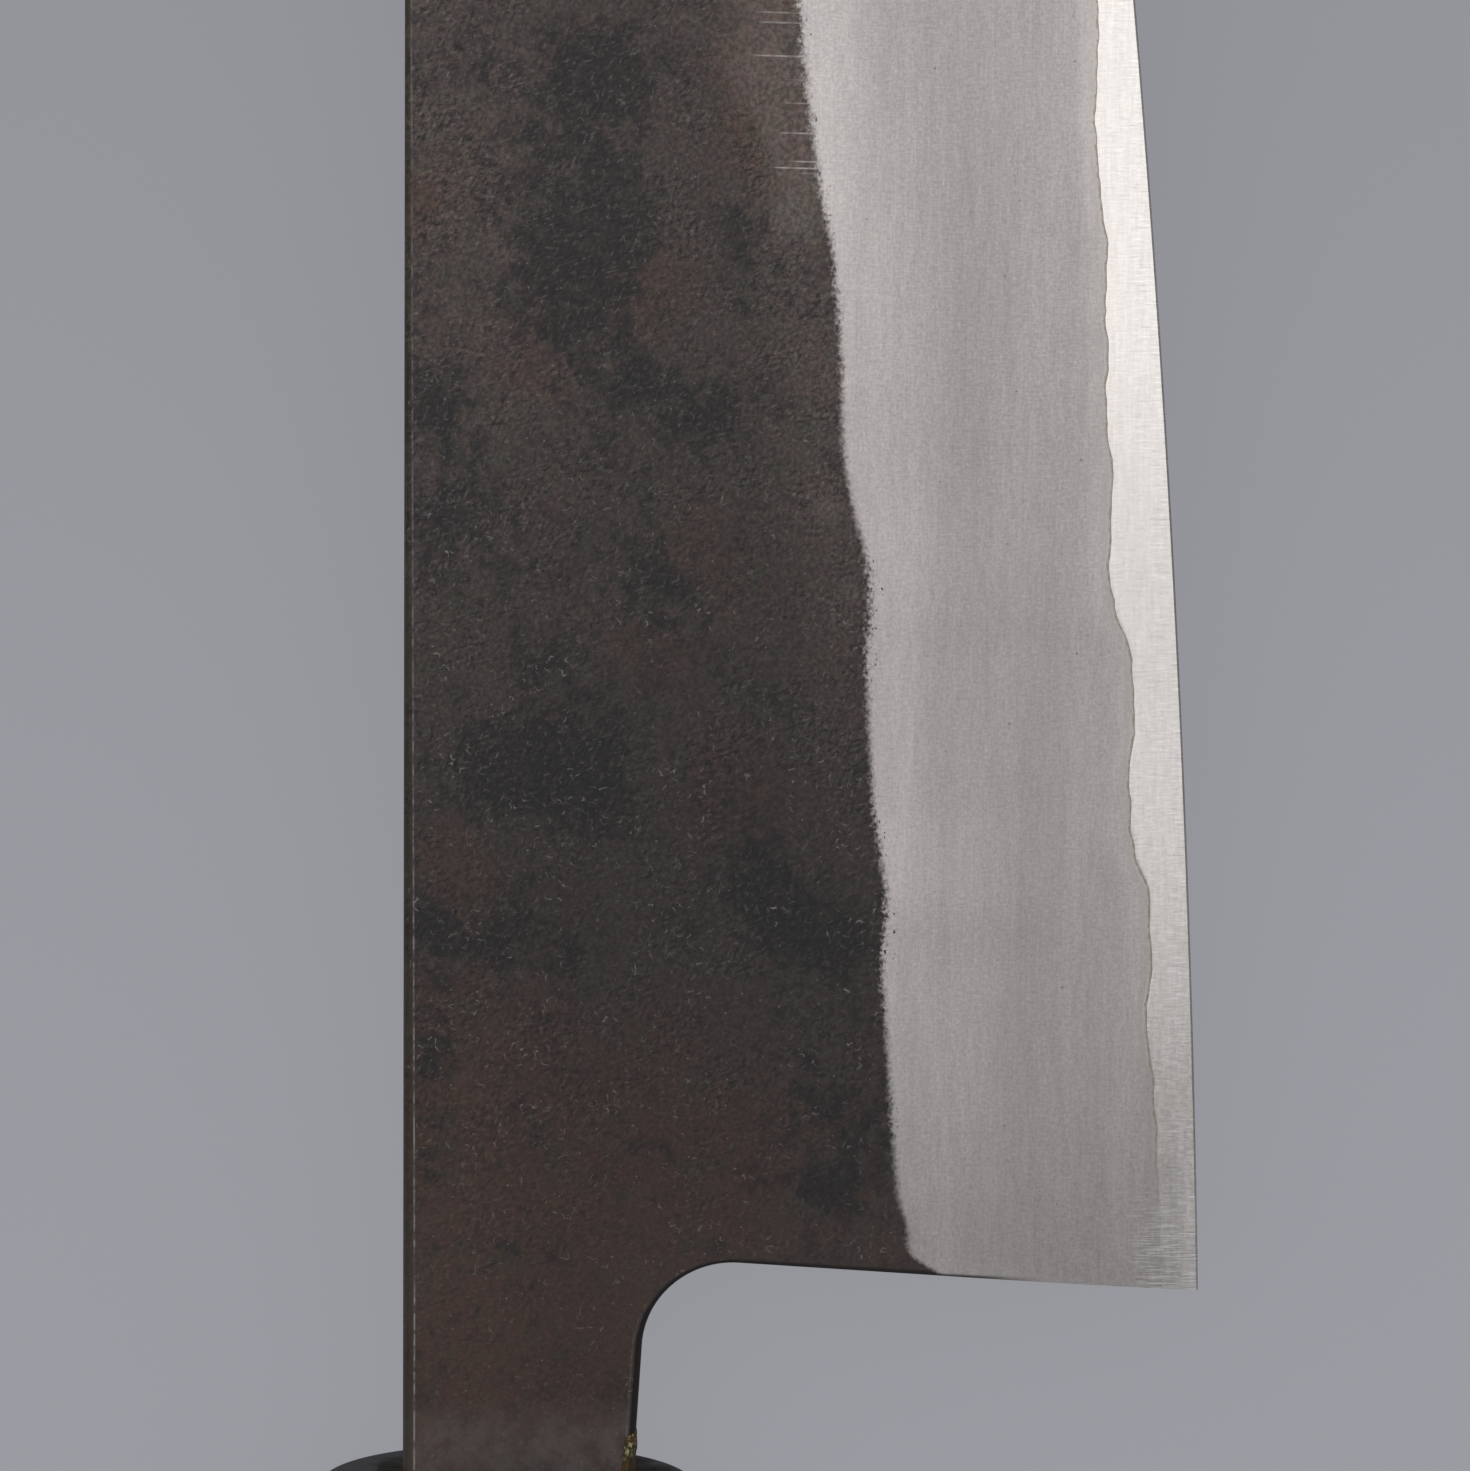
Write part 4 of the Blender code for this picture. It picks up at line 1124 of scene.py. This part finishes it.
def seal_slice(up, out):
    """One slice of the bead: from the pocket's floor forward along the neck, and back outside."""
    y, z = neck_skin(up, out, 0.0)[0], out * NECK_HALF
    rough = noise.noise(Vector((y, z, 0.0)) / (4 * SEAL_LUMP))
    finer = noise.noise(Vector((y, z, 0.01)) / SEAL_LUMP)
    below = (SEAL_REACH_UP - (y + NECK_HEIGHT - CORNER_EASE)) / SEAL_THINS_OVER
    creep = SEAL_CREEP * (1 + SEAL_ROUGHNESS * rough)
    creep += SEAL_CREEP_BELOW * min(max(below, 0.0), 1.0) * (1 + SEAL_FINER_ROUGHNESS * finer)
    profile = [(SEAL_FLOOR - SEAL_POCKET, -SEAL_BITE), (creep, -SEAL_BITE)]
    for share in CRUST_SHARES:
        lump = noise.noise(Vector((y, z, creep * share)) / SEAL_LUMP)
        thickness = min(1.0, CRUST_BLUNTNESS * (1 - share)) * (CRUST_THICKNESS + CRUST_LUMPS * lump)
        profile.append((creep * share, thickness))
    wall = SEAL_WALL + 2 * FIT_GAP - SEAL_BITE
    film = wall + FILM_REACH * (1 + rough)
    profile += [
        (SEAL_FLOOR, FOOT_WIDTH + FOOT_WANDERS * rough),
        (FILM_HALF * finer, SEAL_WALL * DISH_SHARE),
        (FILM_HALF, wall),
        (FILM_HALF, film - FILM_EDGE),
        (-FILM_HALF, film),
        (-FIT_GAP, wall),
        (SEAL_FLOOR - SEAL_POCKET, wall),
    ]
    ring = []
    for along, off in profile:
        rounded, plain = neck_skin(up, out, along)
        height = rounded + (plain - rounded) * min(1.0, max(0.0, off / SEAL_WALL))
        ring.append(Vector((mouth_x + along, height + up * off, out * (NECK_HALF + off))))
    return ring


walk = neck_walk()
seal = blade_loft("resin_seal", [seal_slice(*place) for place in (*walk, walk[0])])
shade(seal, degrees=60)

resin, nodes = new_material("aged_resin")
place = nodes.place()
grains = nodes.noise(place, 0.00030, 2.0, 0.6)
patches = nodes.noise(place, 0.0009, 2.0, 0.6)
from_mouth = nodes.less(nodes.split(place)[0], blade_origin.x + mouth_x)
powdery = nodes.fit(from_mouth, 0.0015, 0.0025, 0.05, 0.95)
tone = nodes.coat(RESIN_DARK, RESIN_BROWN, nodes.fit(patches, 0.42, 0.58))
tone = nodes.coat(tone, RESIN_PALE, nodes.fit(grains, 0.50, 0.64), powdery)
tone = nodes.coat(tone, HORN_STAIN, nodes.fit(from_mouth, 0.0005, 0.0001))
nodes.surface(
    Base_Color=tone,
    Roughness=nodes.fit(grains, 0.40, 0.60, 0.94, 0.80),
    Specular_IOR_Level=0.25,
    Normal=nodes.bump(grains, 0.00004, 0.7),
)
stand_for(seal, resin, "mouth_seal")


# Handle body: magnolia wood, turned oval, sanded and left bare. It is bored for the dowel, glued up
# against the ferrule, and its butt end shows the end grain.
GLUE_LINE = 0.00006
handle = oval_bar("magnolia_handle", butt_x, ferrule_back_x - GLUE_LINE, (BUTT_RIM, BACK_RIM))
dowel_back_x = dowel_low[0] - blade_origin.x
bore = round_bar("bore", dowel_back_x - FIT_GAP, ferrule_back_x + CUT_SPARE, bore_radius, BORE_SIDES)
cut_and_remove(handle, bore)
bedding_low, bedding_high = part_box("tang_bedding")
low = Vector(bedding_low) - blade_origin - Vector((FIT_GAP,) * 3)
high = Vector(bedding_high) - blade_origin + Vector((0.0, FIT_GAP, FIT_GAP))
cut_and_remove(handle, block("mortise", low, high))
shade(handle, degrees=32)

# Bare magnolia is pale, with a grey-green cast, faint growth rings, and very fine short pores.
WOOD_PALE = (0.520, 0.430, 0.300, 1.0)
WOOD_LATE = (0.400, 0.310, 0.190, 1.0)
WOOD_PORE = (0.230, 0.165, 0.095, 1.0)
PITH_OFFSET = (0.0, 0.055, -0.022)
RING_WIDTH = 0.0021
RING_WANDER = 3.0  # how many rings the grain wanders
RING_CURVE_ALONG = 0.03  # how much less the rings change along the wood than across it

# Wood grain, on the magnolia handle and on the dowel inside it
nodes, given, give = new_group("growth_rings", "Rings", Place="Vector", Ring_width="Float")
warped = nodes.noise(given["Place"], (0.060, 0.008, 0.008), 3.0, 0.5)
from_pith = nodes.shifted(given["Place"], PITH_OFFSET, (RING_CURVE_ALONG, 1.0, 1.0))
distance = nodes.add("VectorMath", {0: from_pith}, operation="LENGTH").outputs[1]
rings = nodes.math("DIVIDE", distance, given["Ring width"])
share = nodes.math("FRACT", nodes.total(rings, nodes.times(warped, RING_WANDER)))
give(nodes.times(nodes.fit(share, 0.0, 0.85), nodes.fit(share, 1.0, 0.86)))


def make_wood(name, pale, late, pore, ring_width):
    wood, nodes = new_material(name)
    place = nodes.place()
    rings = nodes.group("growth_rings", Place=place, Ring_width=ring_width)
    fibres = nodes.noise(place, (0.009, 0.00030, 0.00030), 3.0, 0.6)
    pores = nodes.noise(place, (0.0016, 0.00011, 0.00011), 2.0, 0.5)
    tone = nodes.coat(pale, late, rings, 0.55)
    tone = nodes.dim(tone, nodes.fit(fibres, 0.25, 0.75, 0.86, 1.10))
    tone = nodes.coat(tone, pore, nodes.fit(pores, 0.60, 0.74, 0.0, 0.5))
    nodes.surface(
        Base_Color=tone,
        Roughness=nodes.fit(fibres, 0.3, 0.7, 0.52, 0.64),
        Normal=nodes.bump(nodes.less(fibres, pores), 0.00002, 0.5),
    )
    return wood


magnolia = make_wood("bare_magnolia", WOOD_PALE, WOOD_LATE, WOOD_PORE, RING_WIDTH)
stand_for(handle, magnolia, "handle_body")


# Joining dowel and tang bedding: hardwood and clear brown resin, both hidden inside ferrule and handle.
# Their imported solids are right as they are, and only get a finish.
DOWEL_PALE = (0.480, 0.330, 0.190, 1.0)
DOWEL_LATE = (0.330, 0.205, 0.105, 1.0)
DOWEL_RING_WIDTH = 0.0012
RESIN_AMBER = (0.120, 0.065, 0.025, 1.0)


def finish_packed(node, material):
    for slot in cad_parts[node].material_slots:
        slot.material = material


bedding_resin, nodes = new_material("bedding_resin")
swirl = nodes.noise(nodes.place(), (0.006, 0.0015, 0.0015), 3.0, 0.6)
tone = nodes.coat(RESIN_BROWN, RESIN_AMBER, nodes.fit(swirl, 0.35, 0.65))
nodes.surface(Base_Color=tone, Roughness=nodes.fit(swirl, 0.3, 0.7, 0.2, 0.35))
finish_packed("tang_bedding", bedding_resin)
hardwood = make_wood("hardwood", DOWEL_PALE, DOWEL_LATE, WOOD_PORE, DOWEL_RING_WIDTH)
finish_packed("joining_dowel", hardwood)


# The studio: a plain pale grey floor under the knife, one wide soft lamp above and towards the tip, a dim
# even world, and the camera above the blade, tipped a little so that the front of the ferrule shows.
FLOOR_SIZE = 30.0
PAPER_COLOUR = (0.333, 0.337, 0.368, 1.0)
# Painted shade: the paper's colour falls off a little towards the tip.
PAPER_SHADE_TOWARDS_TIP = 0.86  # the paper looks a little darker towards the tip
PAPER_OWN_LIGHT = 0.86  # share of the floor's look that the knife's shadow doesn't reach
WORLD_COLOUR = (0.96, 0.98, 1.0, 1.0)
WORLD_LEVEL = 0.25
LAMP_HEIGHT = 1.6
LAMP_LEVEL = 1.40
LAMP_NEAR = (-0.314, -3.0)
LAMP_FAR = (3.5, 3.0)
VIEW_TARGET = Vector((0.03397, -0.019816, 0.0))
VIEW_DISTANCE = 0.79235
VIEW_PITCH = math.radians(11.18)
VIEW_ROLL = math.radians(0.36)
LENS = 323.6

bpy.ops.object.select_all(action="DESELECT")
bpy.ops.mesh.primitive_plane_add(size=FLOOR_SIZE, location=(0.0, 0.0, 0.0))
floor = bpy.context.object
floor.name = "floor"
paper, nodes = new_material("grey_paper")
tone = nodes.dim(PAPER_COLOUR, nodes.fit(nodes.split(nodes.place())[0], -0.04, 0.12, 1.0, PAPER_SHADE_TOWARDS_TIP))
lit = nodes.add("BsdfPrincipled", {"Base Color": tone, "Roughness": 1.0, "Specular IOR Level": 0.0})
own = nodes.add("Emission", {"Color": tone, "Strength": 1.0})
rays = nodes.add("LightPath").outputs
seen = nodes.most(rays["Is Camera Ray"], rays["Is Glossy Ray"], rays["Is Transmission Ray"])
seen = nodes.times(seen, PAPER_OWN_LIGHT)
both = nodes.add("MixShader", {0: seen, 1: lit.outputs[0], 2: own.outputs[0]})
nodes.add("OutputMaterial", {"Surface": both.outputs[0]})
floor.data.materials.append(paper)

world = bpy.data.worlds.new("dim_studio")
bpy.context.scene.world = world
world.use_nodes = True
background = world.node_tree.nodes["Background"]
background.inputs["Color"].default_value = WORLD_COLOUR
background.inputs["Strength"].default_value = WORLD_LEVEL

lamp = bpy.data.lights.new("soft_lamp", "AREA")
lamp.shape = "RECTANGLE"
lamp.size, lamp.size_y = LAMP_FAR[0] - LAMP_NEAR[0], LAMP_FAR[1] - LAMP_NEAR[1]
lamp.energy = math.pi * lamp.size * lamp.size_y * LAMP_LEVEL
lamp_holder = bpy.data.objects.new("soft_lamp", lamp)
lamp_holder.location = ((LAMP_NEAR[0] + LAMP_FAR[0]) / 2, (LAMP_NEAR[1] + LAMP_FAR[1]) / 2, LAMP_HEIGHT)
bpy.context.scene.collection.objects.link(lamp_holder)

forward = Vector((-math.sin(VIEW_PITCH), 0.0, -math.cos(VIEW_PITCH)))
aside = Vector((0.0, -1.0, 0.0))
upward = aside.cross(forward)
rolled_aside = aside * math.cos(VIEW_ROLL) + upward * math.sin(VIEW_ROLL)
rolled_upward = upward * math.cos(VIEW_ROLL) - aside * math.sin(VIEW_ROLL)
camera_data = bpy.data.cameras.new("camera")
camera_data.lens = LENS
camera_data.clip_end = FLOOR_SIZE
camera = bpy.data.objects.new("camera", camera_data)
camera.rotation_euler = Matrix((rolled_aside, rolled_upward, -forward)).transposed().to_euler()
camera.location = blade_origin + VIEW_TARGET - forward * VIEW_DISTANCE
bpy.context.scene.collection.objects.link(camera)
bpy.context.scene.camera = camera
bpy.context.scene.view_settings.view_transform = "Standard"
